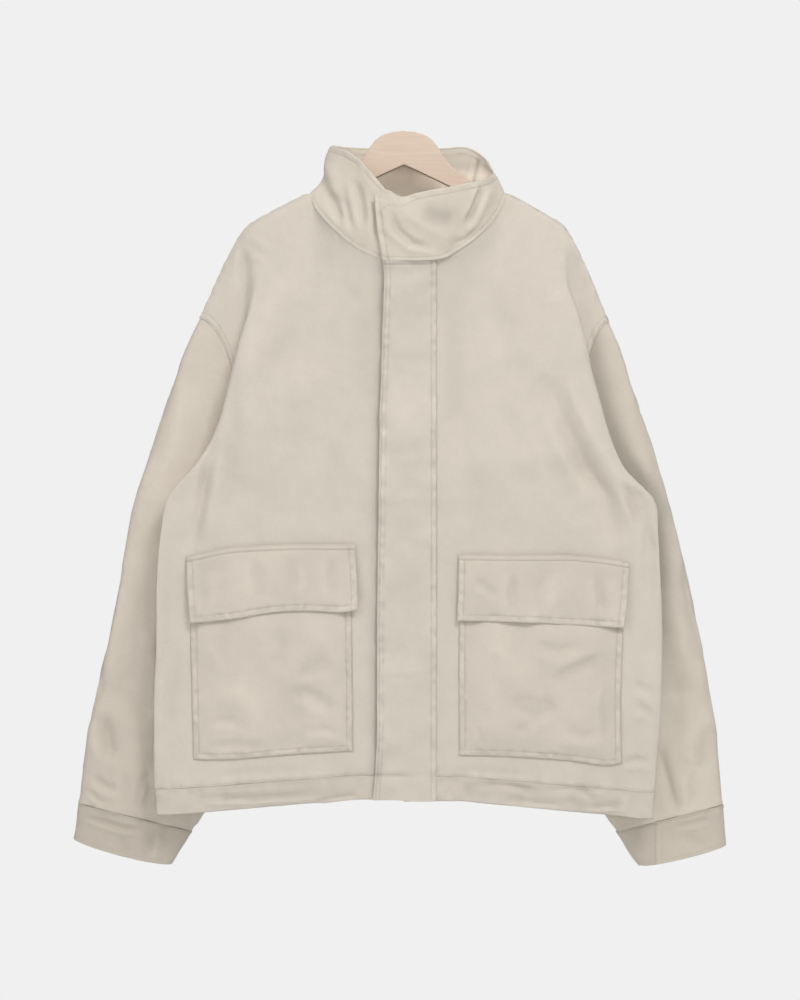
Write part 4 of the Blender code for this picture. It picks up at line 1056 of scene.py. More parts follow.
def wall(node, face, material, inside=None, rows=()):
    """A thin shell of cloth whose outer face is on the face's points, in place of a node. The rows
    of stitches on it are an edge and a distance in from it."""
    grid, away = face.points, face.away
    rows_down, columns = grid.shape[:2]
    work = bmesh.new()
    bmesh.ops.create_grid(work, x_segments=columns - 1, y_segments=rows_down - 1, size=1.0)
    pattern = work.loops.layers.uv.new("cloth")
    # Per-point colour factor: darker dye at seams and stitching, and painted shade in folds,
    # hollows and beside overlaps.
    wear_and_shade_attr = work.verts.layers.float.new("wear_and_shade")
    places = {}
    for vert in work.verts:
        i = round((vert.co.x + 1) / 2 * (columns - 1))
        j = round((vert.co.y + 1) / 2 * (rows_down - 1))
        vert.co = grid[j, i] / 1000
        vert[wear_and_shade_attr] = 1.0 + face.wear_and_shade[j, i]
        places[vert] = (away["start"][j, i] / 1000, away["top"][j, i] / 1000)
    for polygon in work.faces:
        for loop in polygon.loops:
            loop[pattern].uv = places[loop.vert]
    work.faces.ensure_lookup_table()
    middle = work.faces[len(work.faces) // 2]
    middle.normal_update()
    spot = middle.calc_center_median() * 1000
    nearest = np.linalg.norm(grid - np.array(spot), axis=2).argmin()
    if middle.normal.dot(Vector(face.normals.reshape(-1, 3)[nearest])) < 0:
        bmesh.ops.reverse_faces(work, faces=work.faces)
    if face.closed:
        bmesh.ops.remove_doubles(work, verts=work.verts, dist=1e-5)
    mesh = bpy.data.meshes.new(node + "_cloth")
    work.to_mesh(mesh)
    work.free()
    mesh.shade_smooth()
    obj = finished(bpy.data.objects.new(node + "_cloth", mesh), material)
    layer = obj.modifiers.new("thickness", "SOLIDIFY")
    layer.thickness = THICK[node.split("_")[0]] / 1000
    layer.offset = -1.0
    layer.use_even_offset = False
    if inside:
        mesh.materials.append(inside)
        layer.material_offset = 1
    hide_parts(node)
    if rows:
        STITCHES[node] = [face.row(edge, inset) for edge, inset in rows]


def sewn(name, lines, material):
    """Rows of stitches: each is a small bead of thread laid along the line."""
    whole = bmesh.new()
    for points, normals in lines:
        lengths = np.linalg.norm(np.diff(points, axis=0), axis=1) + 1e-9
        places = np.concatenate([[0], np.cumsum(lengths)])
        count = int(places[-1] // THREAD_PITCH)
        row = bmesh.new()
        for n in range(count):
            start = (n + THREAD_START) * THREAD_PITCH
            ends = [start, start + THREAD_LONG]
            a, b = [Vector([np.interp(e, places, points[:, c]) for c in range(3)]) for e in ends]
            up = Vector([np.interp(start, places, normals[:, c]) for c in range(3)])
            along = (b - a).normalized()
            across = up.cross(along).normalized()
            up = along.cross(across).normalized()
            turn = Matrix((along, across, up)).transposed().to_4x4()
            size = Matrix.Diagonal((THREAD_LONG / 2, THREAD_WIDE / 2, THREAD_TALL / 2, 1))
            place = Matrix.Translation((a + b) / 2 + up * THREAD_RISE)
            bmesh.ops.create_icosphere(row, subdivisions=1, radius=1.0,
                                       matrix=Matrix.Scale(0.001, 4) @ place @ turn @ size)
        part = bpy.data.meshes.new("row")
        row.to_mesh(part)
        row.free()
        whole.from_mesh(part)
        bpy.data.meshes.remove(part)
    mesh = bpy.data.meshes.new(name)
    whole.to_mesh(mesh)
    whole.free()
    mesh.shade_smooth()
    return finished(bpy.data.objects.new(name, mesh), material)


# ---------------------------------------------------------------- finishes
def new_material(name):
    """(A new material, its nodes' tree, its shader.)"""
    made = bpy.data.materials.new(name)
    made.use_nodes = True
    return made, made.node_tree, made.node_tree.nodes["Principled BSDF"]


def set_values(node, values):
    for name, value in values.items():
        node.inputs[name].default_value = value


def add(tree, kind, values=None, **settings):
    """A new node with those settings and the values of its inputs."""
    node = tree.nodes.new(kind)
    for name, value in settings.items():
        setattr(node, name, value)
    set_values(node, values or {})
    return node


def ranged(tree, value, low, high, to_low, to_high):
    """A value's range turned into another one."""
    node = add(tree, "ShaderNodeMapRange", {"From Min": low, "From Max": high,
                                            "To Min": to_low, "To Max": to_high})
    tree.links.new(value, node.inputs["Value"])
    return node.outputs["Result"]


def twill(name, colour, seed, painted_light_below=None):
    """Washed cotton twill: mottled dye, a fine diagonal weave and loose surface fibres. Below a
    height in metres, where one is given, it is painted paler, as painted light."""
    made, tree, shader = new_material(name)
    link = tree.links.new
    set_values(shader, {"Sheen Weight": 0.12, "Sheen Roughness": 0.6, "Specular IOR Level": 0.2})
    place = add(tree, "ShaderNodeTexCoord")
    shifted = add(tree, "ShaderNodeMapping", {"Location": (seed * 1.7, seed * 0.9, seed * 2.3)})
    link(place.outputs["Object"], shifted.inputs["Vector"])

    def noise(scale, detail, rough=0.55):
        node = add(tree, "ShaderNodeTexNoise",
                   {"Scale": scale, "Detail": detail, "Roughness": rough})
        link(shifted.outputs["Vector"], node.inputs["Vector"])
        return node.outputs["Fac"]

    def mottled(scale, detail, low, high):
        return ranged(tree, noise(scale, detail), 0.3, 0.7, low, high)

    def times(first, second):
        node = add(tree, "ShaderNodeMath", operation="MULTIPLY")
        link(first, node.inputs[0])
        link(second, node.inputs[1])
        return node.outputs["Value"]

    dye = mottled(7.0, 4.0, 0.97, 1.022)
    rubbed = mottled(38.0, 3.0, 0.975, 1.02)
    fibre = mottled(1400.0, 2.0, 0.94, 1.05)
    # The per-point factor darkens the colour for worn dye at seams and for painted shade and light.
    wear_and_shade_attr = add(tree, "ShaderNodeAttribute", attribute_name="wear_and_shade")
    shade = times(times(times(dye, rubbed), fibre), wear_and_shade_attr.outputs["Fac"])
    # Painted light: below that height the cloth is made paler.
    if painted_light_below is not None:
        height = add(tree, "ShaderNodeSeparateXYZ")
        link(place.outputs["Object"], height.inputs["Vector"])
        blend = painted_light_below - PAINTED_LIGHT_BLEND
        shade = times(shade, ranged(tree, height.outputs["Z"], blend, painted_light_below, PAINTED_LIGHT_GAIN, 1.0))
    tint = add(tree, "ShaderNodeVectorMath", {0: colour}, operation="SCALE")
    link(shade, tint.inputs["Scale"])
    link(tint.outputs["Vector"], shader.inputs["Base Color"])
    link(mottled(300.0, 2.0, 0.84, 0.96), shader.inputs["Roughness"])

    weave_map = add(tree, "ShaderNodeUVMap", uv_map="cloth")
    weave = add(tree, "ShaderNodeTexWave",
                {"Scale": 170.0, "Distortion": 2.4, "Detail": 1.0, "Detail Scale": 3.0},
                wave_type="BANDS", bands_direction="DIAGONAL")
    link(weave_map.outputs["UV"], weave.inputs["Vector"])
    ribs = add(tree, "ShaderNodeBump", {"Strength": 0.2, "Distance": 0.0002})
    link(weave.outputs["Fac"], ribs.inputs["Height"])
    crumpled = add(tree, "ShaderNodeBump", {"Strength": 0.45, "Distance": 0.0022})
    link(noise(55.0, 5.0, 0.5), crumpled.inputs["Height"])
    link(ribs.outputs["Normal"], crumpled.inputs["Normal"])
    link(crumpled.outputs["Normal"], shader.inputs["Normal"])
    return made


def thread(name, colour):
    """Sewing thread, a little darker and shinier than the cloth."""
    made, tree, shader = new_material(name)
    set_values(shader, {"Roughness": 0.6})
    place = add(tree, "ShaderNodeTexCoord")
    noise = add(tree, "ShaderNodeTexNoise", {"Scale": 220.0})
    ramp = add(tree, "ShaderNodeMix", {"A": tuple(c * 0.9 for c in colour) + (1.0,),
                                       "B": tuple(c * 1.08 for c in colour) + (1.0,)},
               data_type="RGBA")
    tree.links.new(place.outputs["Object"], noise.inputs["Vector"])
    tree.links.new(noise.outputs["Fac"], ramp.inputs["Factor"])
    tree.links.new(ramp.outputs["Result"], shader.inputs["Base Color"])
    return made


def wood():
    """Pale, fine-grained wood under a thin satin lacquer; the grain runs along the arms, and the
    faces that point down are painted darker as shade."""
    made, tree, shader = new_material("hanger_wood")
    link = tree.links.new
    set_values(shader, {"Coat Weight": 0.15, "Coat Roughness": 0.35})
    place = add(tree, "ShaderNodeTexCoord")
    stretched = add(tree, "ShaderNodeMapping", {"Scale": (6.0, 60.0, 60.0)})
    grain = add(tree, "ShaderNodeTexNoise", {"Scale": 5.0, "Detail": 6.0, "Distortion": 0.6})
    ramp = add(tree, "ShaderNodeMix",
               {"A": (0.61, 0.46, 0.35, 1.0), "B": (0.76, 0.61, 0.50, 1.0)}, data_type="RGBA")
    link(place.outputs["Object"], stretched.inputs["Vector"])
    link(stretched.outputs["Vector"], grain.inputs["Vector"])
    link(grain.outputs["Fac"], ramp.inputs["Factor"])
    facing_down = add(tree, "ShaderNodeSeparateXYZ")
    edge = add(tree, "ShaderNodeVectorMath", operation="SCALE")
    link(place.outputs["Normal"], facing_down.inputs["Vector"])
    link(ramp.outputs["Result"], edge.inputs[0])
    # Faces that point down are painted darker, as painted shade.
    link(ranged(tree, facing_down.outputs["Z"], -0.6, -0.05, 0.6, 1.0), edge.inputs["Scale"])
    link(edge.outputs["Vector"], shader.inputs["Base Color"])
    link(ranged(tree, grain.outputs["Fac"], 0.0, 1.0, 0.42, 0.62), shader.inputs["Roughness"])
    bump = add(tree, "ShaderNodeBump", {"Strength": 0.15, "Distance": 0.0004})
    link(grain.outputs["Fac"], bump.inputs["Height"])
    link(bump.outputs["Normal"], shader.inputs["Normal"])
    return made


# One twill in every piece: its colours differ partly as the cloth's own tone and partly as painted
# light and shade, the cuffs, hem bands and pockets darker and the sleeves and collar paler than the
# body.
BODY_TWILL = twill("body_twill", (0.640, 0.580, 0.502), 1.0)
SLEEVE_TWILL = twill("sleeve_twill", (0.652, 0.585, 0.498), 4.0)
POCKET_TWILL = twill("pocket_twill", (0.630, 0.568, 0.488), 7.0)
# The inner faces of the fronts and back are painted paler than the cloth, as painted light in the
# dim inside.
INSIDE_LIT_TWILL = twill("inside_twill", (0.850, 0.775, 0.675), 21.0)
BAND_TWILL = twill("band_twill", (0.616, 0.556, 0.478), 11.0)
CUFF_TWILL = twill("cuff_twill", (0.585, 0.524, 0.442), 18.0)
COLLAR_INSIDE_LIT = twill("collar_inside_twill", (0.680, 0.617, 0.530), 25.0, PAINTED_LIGHT_BELOW)
COLLAR_TWILL = twill("collar_twill", (0.650, 0.586, 0.500), 15.0)
SEWING_THREAD = thread("sewing_thread", (0.50, 0.44, 0.36))


# ---------------------------------------------------------------- the body
def with_room(rows):
    """A grid of x, y, z and how free the cloth is to fold there: not at all at a side's seam,
    and by the armhole more of the strip that turns back is free."""
    table = []
    for row in rows:
        flat = len(row) - STRIP_FACES
        bound = STRIP_FACES if row[-1].z > ARMHOLE_FREE else 2.0
        table.append([(p.x, p.y, p.z, 1.0 if n < flat else max(0.0, 1 - (n - flat + 1) / bound))
                      for n, p in enumerate(row)])
    return np.array(table)


def folded(grid, front):
    """A part of the body as a face with the body's folds in it."""
    points, free = grid[:, :, :3], np.clip(grid[:, :, 3], 0, 1)
    x, z = points[:, :, 0], points[:, :, 2]
    folds, creases = (FRONT_FOLDS, FRONT_CREASES) if front else (BACK_FOLDS, BACK_CREASES)
    room = free * soft((CREASE_ROOM[0] - z) / CREASE_ROOM[1])
    sharp = all_creases(creases + (HEM_CREASES if front else []), x, z) * room
    height = large_folds(folds, x, z) * free * soft((FOLD_ROOM[0] - z) / FOLD_ROOM[1])
    height += hang(20 if front else 30, x, z, *BODY_HANG) * room + sharp
    towards = FORWARD if front else BACKWARD
    face = Face(points + towards * height[:, :, None], towards)
    # Troughs of the creases painted darker as shade, ridges paler.
    face.wear_and_shade += fold_shade_and_wear(sharp)
    return face


def fly_edge(z):
    """Where the free edge of the fly lies at those heights."""
    return np.interp(-z, [-row[0] for row in FLY_EDGE], [row[1] for row in FLY_EDGE])


def tree_of(grid):
    """A tree of the cloth's face, to lay other pieces on."""
    rows, columns = grid.shape[:2]
    faces = [(j * columns + i, j * columns + i + 1, (j + 1) * columns + i + 1,
              (j + 1) * columns + i) for j in range(rows - 1) for i in range(columns - 1)]
    return BVHTree.FromPolygons([Vector(p) for p in grid.reshape(-1, 3)], faces)


def make_front(side):
    """A front, sewn at the neck, armhole and hem."""
    seed = SEEDS["front"][side]
    grid = with_room(PANELS["front", side][0])
    face = folded(respaced(respaced(grid, 0, STEP, NEAR, NEAR), 1, STEP, (), NEAR), True)
    face.seam(seed, "top", "start", lap=0.7)
    face.seam(seed + 10, "end", "top", ARM_ROWS)
    face.seam(seed + 20, "bottom", "start", HEM_ROWS, 0.3, 0.12, 0.04)
    # Painted shadow cast by the fly's free edge on the front beside it.
    if side == "right":
        under_fly = np.clip(fly_edge(face.z) - face.x, 0, FAR)
        face.wear_and_shade -= FLY_SHADE * bell(under_fly, FLY_SHADE_WIDE)
    face.lift()
    TREES[side] = tree_of(face.points)
    OUTLINES[side] = (face.z.mean(axis=1), abs(face.x).max(axis=1))
    rows = [("end", inset) for inset in ARM_ROWS] + [("bottom", inset) for inset in HEM_ROWS]
    wall("front_" + side, face, BODY_TWILL, INSIDE_LIT_TWILL, rows)


def make_front_hem(side):
    """The hem band of a front, rippled along its length."""
    seed = SEEDS["front"][side]
    grid = with_room(PANELS["front", side][1])
    face = folded(respaced(respaced(grid, 0, BAND_STEP, NEAR, EDGE), 1, STEP, (), NEAR), True)
    down = face.away["top"]
    ripple = waves(seed + 37, face.x, face.z, 11.0) * soft(down / 6)
    face.seam(seed + 30, "top", "start", edge_dark=0.12)
    face.turned(face.away["bottom"], 0.9)
    face.height += 0.8 * waves(seed + 35, face.x, face.z, 26.0) * soft(down / 10) + 0.8 * ripple
    face.wear_and_shade += 0.035 * ripple
    face.wear_and_shade += seam_wear(seed + 40, face.away["bottom"], face.away["start"], (), 0.06)
    face.lift()
    wall("hem_" + side, face, BAND_TWILL)


def back_face(number, bottoms):
    """The back or its hem band as one face from the wearer's right to the left."""
    right, left = [with_room(PANELS["back", side][number]) for side in ("right", "left")]
    grid = np.concatenate([right[:, ::-1], left[:, 1:]], axis=1)
    return folded(respaced(respaced(grid, 0, BACK_STEP, NEAR, bottoms), 1, BACK_STEP, NEAR, NEAR),
                  False)


def make_back():
    face = back_face(0, NEAR)
    beside = np.minimum(face.away["start"], face.away["end"])
    face.seam(301, "top", "start")
    face.height += seam_relief(302, beside, face.away["top"], ())
    face.wear_and_shade += seam_wear(302, beside, face.away["top"], ())
    face.seam(303, "bottom", "start", HEM_ROWS, 0.3, 0.12, 0.04)
    face.lift()
    wall("back", face, BODY_TWILL, INSIDE_LIT_TWILL, [("bottom", inset) for inset in HEM_ROWS])


def make_back_hem():
    face = back_face(1, EDGE)
    face.seam(304, "top", "start", edge_dark=0.12)
    face.height += 0.8 * waves(305, face.x, face.z, 26.0) * soft(face.away["top"] / 10)
    face.lift()
    wall("hem_back", face, BAND_TWILL)


# ---------------------------------------------------------------- pockets, flaps and fly
def outline_patch(top, bottom, left, right, count=26):
    """A grid of places inside four lines, each a list of x, z places."""
    share = np.linspace(0, 1, count + 1)

    def along(line):
        line = np.array(line, float)
        lengths = np.linalg.norm(np.diff(line, axis=0), axis=1)
        places = np.concatenate([[0], np.cumsum(lengths)]) / lengths.sum()
        return spline(line, places, share, False)

    t, b, l, r = [along(line) for line in (top, bottom, left, right)]
    u, v = share[None, :, None], share[:, None, None]
    flat = (1 - u) * l[:, None] + u * r[:, None] + (1 - v) * t[None] + v * b[None]
    flat -= ((1 - u) * (1 - v) * t[0] + u * (1 - v) * t[-1]
             + (1 - u) * v * b[0] + u * v * b[-1])
    return np.stack([flat[:, :, 0], np.zeros(flat.shape[:2]), flat[:, :, 1]], axis=2)


def patch_face(node, side):
    """The face of a pocket or flap, laid on the front behind it."""
    grid = outline_patch(*POCKET_OUTLINES[node])
    points = respaced(respaced(grid, 0, PATCH_STEP, EDGE, EDGE), 1, PATCH_STEP, EDGE, EDGE)
    for j, i in np.ndindex(points.shape[:2]):
        start = Vector((points[j, i, 0], BEFORE_FRONT, points[j, i, 2]))
        points[j, i, 1] = TREES[side].ray_cast(start, Vector((0, 1, 0)))[0].y
    return Face(points, FORWARD)


def make_pocket(side):
    """A patch pocket: it swells a little at the middle, and its sides and foot are sewn down."""
    seed = SEEDS["pocket"][side]
    face = patch_face("pocket_" + side, side)
    x, z, edge, down = face.x, face.z, face.free_edges(), face.away["top"]
    swell = soft(edge / 40) * soft((down - 20) / 60)
    folds = 3.0 * swell * (1 + 0.6 * waves(seed, x, z, 60.0))
    folds += 2.4 * waves(seed + 1, x, z * 0.8, 36.0) * soft(edge / 24) * soft((down - 38) / 30)
    folds += all_creases(POCKET_CREASES, x, z) * soft(edge / 9)
    pucker = waves(seed + 2, x, z, PUCKER) * bell(edge - 4.5, 5)
    uneven = 1 + 0.6 * waves(seed + 3, x, z, 7.0)
    face.height += POCKET_LIFT + np.maximum(folds, -0.6) + pucker
    # Painted shade in the pocket's folds, ridges paler.
    face.wear_and_shade += 0.8 * fold_shade_and_wear(folds - 2) + 0.09 * pucker + 0.01
    for row in TOP_ROWS:
        face.stitched(edge - row, uneven, 0.4, 1.3, 0.11)
    face.turned(edge, 1.0, 0.08)
    face.lift()
    wall("pocket_" + side, face, POCKET_TWILL,
         rows=[(name, inset) for name in ("start", "end", "bottom") for inset in TOP_ROWS])


def make_flap(side):
    """A flap: sewn down along its top, it stands off more and more towards its free edge."""
    seed = SEEDS["pocket"][side]
    face = patch_face("flap_" + side, side)
    x, z, edge, down = face.x, face.z, face.free_edges(), face.away["top"]
    folds = 1.6 * waves(seed + 7, x, z * 0.5, 34.0) * soft(down / 30)
    folds += all_creases(FLAP_CREASES, x, z) * soft(down / 9)
    pucker = waves(seed + 11, x, z, PUCKER) * bell(edge - 5, 5)
    uneven = 1 + 0.6 * waves(seed + 9, x, z, 7.0)
    face.height += FLAP_LIFT + 3.4 * soft(down / 75) + folds + 0.9 * pucker
    face.height -= 1.2 * bell(down - 6.6, 1.6) + 1.4 * soft((5 - down) / 5)
    face.wear_and_shade += fold_shade_and_wear(1.5 * folds) + 0.09 * pucker
    # The line at the second top row is painted darker as the shadow where the flap folds down, over
    # its stitching.
    face.wear_and_shade -= 0.14 * bell(down - 6.8, 0.9) + 0.06 * bell(down - 1.1, DYE_LINE)
    face.stitched(edge - TOP_ROWS[1], uneven, 0.4, 1.3, 0.11 * soft((down - 6) / 4))
    face.turned(edge, 0.9, 0.07)
    face.lift()
    wall("flap_" + side, face, POCKET_TWILL,
         rows=[(name, TOP_ROWS[1]) for name in ("start", "end", "bottom")]
         + [("top", inset) for inset in FLAP_TOP_ROWS])


def make_fly():
    """The strip over the front opening, from the fronts' middle columns: sewn along the wearer's
    left, and free and leaning off along the right."""
    last = column_index("fly")
    right, left = [PANELS["front", side][0] + PANELS["front", side][1][1:] for side in SIDES]
    rows = [r[:last + 1][::-1] + l[1:last + 1] for r, l in zip(right, left)]
    grid = np.array([[(p.x, p.y, p.z, 1.0) for p in row] for row in rows])
    grid = respaced(respaced(grid, 0, 3.4, NEAR, EDGE), 1, PATCH_STEP, EDGE, EDGE)
    share = (grid[:, -1:, 0] - grid[:, :, 0]) / (grid[:, -1:, 0] - grid[:, :1, 0])
    grid[:, :, 0] += (fly_edge(grid[:, :1, 2]) - grid[:, :1, 0]) * share
    face = folded(grid, True)
    x, z, free, sewn_side = face.x, face.z, face.away["start"], face.away["end"]
    pucker = waves(607, x, z, PUCKER) * (bell(free - 5, 5) + bell(sewn_side - 4, 5))
    folds = 2.2 * waves(601, x * 0.55, z, 34.0) * soft(sewn_side / 30)
    folds += 1.2 * waves(603, x, z, 15.0) * bell(free - 4, 8)
    folds += 0.9 * waves(605, x * 0.7, z, 17.0) * soft(sewn_side / 12) + 0.9 * pucker
    hidden = bell(x - FLY_BUMP[0], 11) * bell(z - FLY_BUMP[1], 9)
    top_row = bell(face.away["top"] - 5, 1.0) * soft((74 - free) / 40)
    face.height += FLY_LIFT + FLY_LEAN * soft((FLY_LEAN_WIDE - free) / FLY_LEAN_WIDE)
    face.height += folds + 2.2 * hidden - 1.2 * soft((5 - sewn_side) / 5)
    face.height -= 1.6 * bell(z - FLY_FOOT, 1.6) + 1.2 * top_row
    # Painted shade in the fly's folds, ridges paler.
    face.wear_and_shade += 0.8 * fold_shade_and_wear(folds) + 0.06 * pucker
    # A dark line painted along the fly's top as the shadow below the collar's lap.
    face.wear_and_shade -= 0.18 * bell(z - FLY_FOOT, 1.1) + 0.17 * top_row
    face.wear_and_shade += seam_wear(601, free, face.away["top"], (3.0, 8.0), 0.06, 0.12)
    face.wear_and_shade += seam_wear(605, sewn_side, face.away["top"], (0.4, 7.4), 0.02, 0.09)
    face.wear_and_shade += seam_wear(609, face.away["top"], free, (), 0.12)
    face.turned(free, 1.0)
    face.turned(sewn_side, 0.6)
    face.lift()
    wall("fly", face, BODY_TWILL, rows=FLY_ROWS)


# ---------------------------------------------------------------- sleeves and cuffs
def rings_of(side, shares, point):
    """Rings of points round a sleeve or cuff, each at a share of the way down it."""
    rings = [closed_ring(lambda turn, front: point(side, share, turn, front)) for share in shares]
    return grid_of(placed(rings, side))


def make_sleeve(side):
    seed = SEEDS["sleeve"][side]
    rings = rings_of(side, SLEEVE_SHARES, sleeve_point)
    face = tube(rings, 4.0, NEAR, STEP)
    x, z, away, ahead = face.x, face.z, face.away, -face.normals[:, :, 1]
    front_part, back_part = soft(ahead * 2), soft(-ahead * 2)
    sharp = all_creases(SLEEVE_FRONT_CREASES, x, z) * front_part
    sharp += all_creases(SLEEVE_BACK_CREASES, x, z) * back_part
    sharp *= soft(away["top"] / 60) * soft(away["bottom"] / 10)
    slit = all_creases(PLACKET, x, z) * front_part
    height = large_folds(SLEEVE_FOLDS, x, z) * front_part
    height += hang(seed, x + BACK_SHIFT * back_part, z, *SLEEVE_HANG)
    face.height += height * soft(away["top"] / 60) * soft(away["bottom"] / 14) + sharp + slit
    face.seam(seed + 10, "top", "start", (), 0.2, 0.08)
    face.seam(seed + 20, "bottom", "start", (), 0.0)
    face.height += 0.9 * waves(seed + 25, away["start"], z, 13.0) * bell(away["bottom"], 12)
    # Painted shade on the sleeve's front: in the hollow beside the body's folded edge, and darker
    # towards the bottom on the wearer's right sleeve; crease troughs painted darker too.
    heights, reach = OUTLINES[side]
    beyond = np.clip(abs(x) - np.interp(-z, -heights, reach), 0, FAR)
    hollow = HOLLOW_SHADE[side] * bell(beyond, HOLLOW_WIDE) * soft((z + 760) / 140)
    lower = LOWER_SHADE[side] * soft((-540 - z) / 200)
    face.wear_and_shade += fold_shade_and_wear(sharp) + 0.05 * slit - (hollow + lower) * front_part
    face.lift()
    wall("sleeve_" + side, face, SLEEVE_TWILL)
    return rings[-1]


def make_cuff(side, sleeve_end):
    """A cuff, whose sewn edge follows the end of the sleeve."""
    seed = SEEDS["sleeve"][side]
    shares = np.linspace(0, 1, 9)
    rings = rings_of(side, shares, cuff_point)
    rings += (sleeve_end - rings[0]) * (1 - soft(shares / 0.6))[:, None, None]
    face = tube(rings, BAND_STEP, EDGE, 1.6)
    x, z, front_part = face.x, face.z, soft(-face.normals[:, :, 1] * 2)
    sharp = all_creases(CUFF_CREASES, x, z) * front_part
    face.height += 0.6 + sharp + 1.2 * waves(seed + 41, x, z, 30.0) * soft(face.away["top"] / 12)
    face.seam(seed + 30, "top", "start", HEM_ROWS)
    # Painted shade in the cuff's creases, ridges paler; its open edge a little darker.
    face.wear_and_shade += fold_shade_and_wear(sharp) - 0.05 * bell(face.away["bottom"], 1.0)
    # Painted shade: the wearer's right cuff is darker all over; on the left one the part past the
    # overlapping end, toward the body, is darker as that end's shadow.
    if side == "right":
        face.wear_and_shade -= 0.09
    else:
        past = CUFF_END - x
        under = soft(past / 1.6) * front_part
        face.height -= 1.8 * under
        face.wear_and_shade -= 0.10 * under * np.exp(-np.clip(past, 0, 60) / 30)
        face.wear_and_shade -= 0.08 * bell(past + 7, DYE_LINE) * front_part
    face.lift()
    wall("cuff_" + side, face, CUFF_TWILL, rows=CUFF_ROWS)


# ---------------------------------------------------------------- collar
def make_collar():
    """The collar: its top edge stands a little higher at the back, and its top row of stitches
    drops towards the end of the lap."""
    grid = respaced(respaced(grid_of(collar_rows()), 0, PATCH_STEP, NEAR, EDGE),
                    1, PATCH_STEP, EDGE, EDGE)
    outward = (grid - np.array(COLLAR_CENTRE)) * np.array((1.0, 1.0, 0))
    away = from_edges(grid)
    risen = away["top"] / (away["top"] + away["bottom"])
    grid[:, :, 2] += 2.6 * risen * soft((grid[:, :, 1] - 5) / 10)
    grid[:, :, 2] -= 1.6 * soft(1 - away["top"] / 6)
    face = Face(grid, outward)
    x, y, z, up, round_it = face.x, face.y, face.z, face.away["top"], face.away["start"]
    edge = face.free_edges()
    to_lap = round_it if grid[0, 0, 1] < grid[0, -1, 1] else face.away["end"]
    lower = COLLAR_ROW_DROP * soft(1 - to_lap / 60)
    ends = np.minimum(face.away["start"], face.away["end"])
    row_edge = np.minimum(ends, face.away["bottom"] - lower)
    sharp = all_creases(COLLAR_CREASES, x, z) * soft((2 - y) / 8) * soft(edge / 7)
    sharp += all_creases(COLLAR_BACK_CREASES, x, z) * soft((y - 2) / 8) * soft(edge / 5)
    sharp *= soft((up - 1) / 8)
    pucker = waves(905, round_it, z, 11.0) * bell(edge - 5, 5)
    uneven = 1 + 0.7 * waves(903, round_it, z, 8.0)
    face.height += sharp + 2.0 * waves(901, round_it, z, 46.0) * soft(edge / 20) * soft(up / 20)
    face.height += 0.6 + 0.8 * pucker - 0.5 * bell(up - COLLAR_FOOT_ROW, 1.4)
    # Painted shade in the collar's creases: at its front troughs darker and ridges paler; at its
    # back the sign is turned and tripled, so ridges are painted dark as shadow lines.
    face.wear_and_shade += fold_shade_and_wear(sharp) * np.where(y < 2, 1, -3) + 0.06 * pucker
    face.wear_and_shade += seam_wear(907, up, round_it, (COLLAR_FOOT_ROW,), 0.16)
    # Painted shade in the hollow in the middle of the collar's lap.
    face.wear_and_shade -= LAP_SHADE * bell(x - 42, 32) * bell(z + 112, 16) * (y < 2)
    face.stitched(row_edge - TOP_ROWS[1], uneven, 0.45, 1.4, 0.10)
    face.turned(edge, 1.0)
    face.lift()
    wall("collar", face, COLLAR_TWILL, COLLAR_INSIDE_LIT,
         [("start", TOP_ROWS[1]), ("end", TOP_ROWS[1]), ("bottom", TOP_ROWS[1] + lower[-1]),
          ("top", COLLAR_FOOT_ROW)])


# ---------------------------------------------------------------- the jacket and its hanger
PANELS = {("front" if front else "back", side): panel_rows(side, front)
          for side in SIDES for front in (True, False)}
TREES = {}                  # each front's face, for what lies on it
OUTLINES = {}               # and its heights, with how far out it reaches there
for side in SIDES:
    make_front(side)
    make_front_hem(side)
make_back()
make_back_hem()
for side in SIDES:
    make_pocket(side)
    make_flap(side)
make_fly()
for side in SIDES:
    make_cuff(side, make_sleeve(side))
make_collar()
THREADS = {node: sewn(node + "_stitches", lines, SEWING_THREAD)
           for node, lines in STITCHES.items()}
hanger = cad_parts["hanger"]
hanger.data.materials.clear()
hanger.data.materials.append(wood())


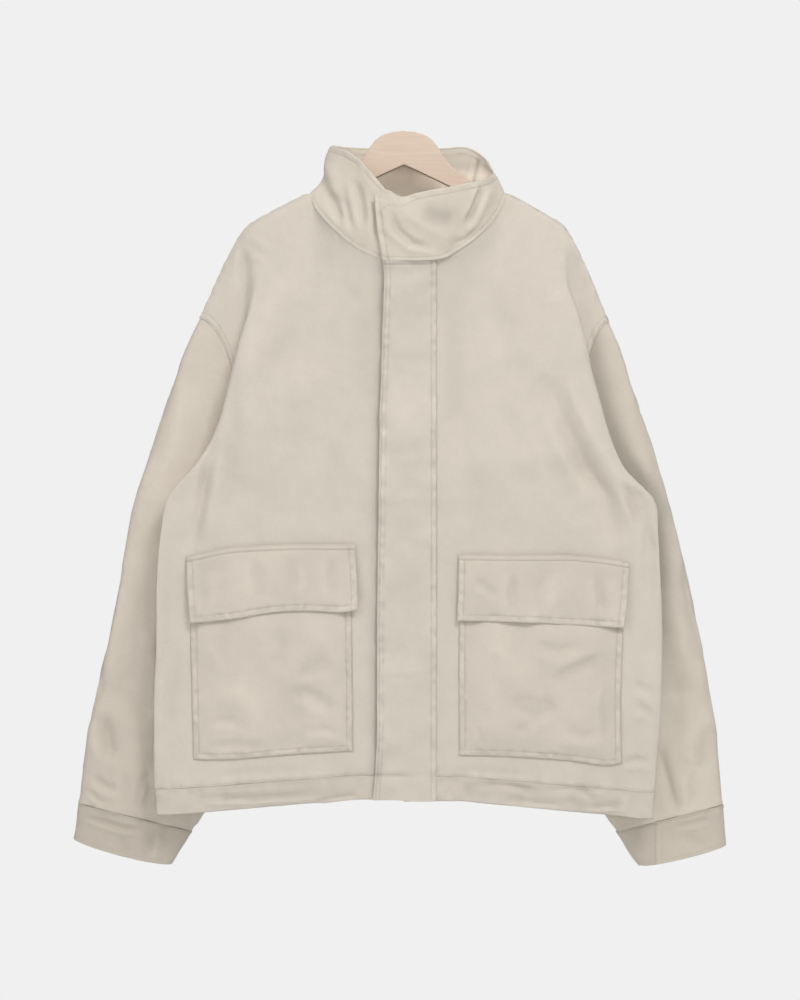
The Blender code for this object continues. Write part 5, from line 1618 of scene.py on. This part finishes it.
# ---------------------------------------------------------------- stage, light and camera
def make_floor():
    disc = bmesh.new()
    bmesh.ops.create_circle(disc, cap_ends=True, segments=96, radius=3.2,
                            matrix=Matrix.Translation((0, 0, -1.6)))
    mesh = bpy.data.meshes.new("floor")
    disc.to_mesh(mesh)
    disc.free()
    floor = bpy.data.objects.new("floor", mesh)
    made, _, shader = new_material("floor_paint")
    set_values(shader, {"Base Color": (0.80, 0.80, 0.80, 1.0), "Roughness": 0.9})
    mesh.materials.append(made)
    bpy.context.scene.collection.objects.link(floor)


def light_world(scene):
    """A pale backdrop for the camera, and a soft fill that is brighter from above."""
    world = bpy.data.worlds.new("studio")
    scene.world = world
    world.use_nodes = True
    tree = world.node_tree
    link = tree.links.new
    backdrop = tree.nodes["Background"]
    set_values(backdrop, {"Color": (0.871, 0.871, 0.871, 1.0), "Strength": 1.0})
    fill = add(tree, "ShaderNodeBackground", {"Color": (1.0, 1.0, 1.0, 1.0)})
    upward = add(tree, "ShaderNodeTexCoord")
    height = add(tree, "ShaderNodeSeparateXYZ")
    link(upward.outputs["Generated"], height.inputs["Vector"])
    link(ranged(tree, height.outputs["Z"], -1.0, 1.0, 0.15, 0.54), fill.inputs["Strength"])
    seen = add(tree, "ShaderNodeLightPath")
    either = add(tree, "ShaderNodeMixShader")
    link(seen.outputs["Is Camera Ray"], either.inputs["Fac"])
    link(fill.outputs["Background"], either.inputs[1])
    link(backdrop.outputs["Background"], either.inputs[2])
    link(either.outputs["Shader"], tree.nodes["World Output"].inputs["Surface"])


def add_lamp(name, place, size, watts):
    data = bpy.data.lights.new(name, "AREA")
    data.shape = "RECTANGLE"
    data.size, data.size_y = size, size
    data.energy = watts
    lamp = bpy.data.objects.new(name, data)
    lamp.location = place
    aim = Vector(LAMPS_AIM) - Vector(place)
    lamp.rotation_euler = aim.to_track_quat("-Z", "Y").to_euler()
    bpy.context.scene.collection.objects.link(lamp)


def add_camera(scene):
    data = bpy.data.cameras.new("camera")
    data.sensor_width = SENSOR
    data.lens = SENSOR * CAMERA_AWAY / PICTURE_HEIGHT
    camera = bpy.data.objects.new("camera", data)
    camera.location = (-0.005, PICTURE_PLANE - CAMERA_AWAY, -0.4625)
    camera.rotation_euler = (math.radians(90), 0, 0)
    scene.collection.objects.link(camera)
    scene.camera = camera


make_floor()
bpy.context.scene.view_settings.view_transform = "Standard"
light_world(bpy.context.scene)
for lamp in LAMPS:
    add_lamp(*lamp)
add_camera(bpy.context.scene)
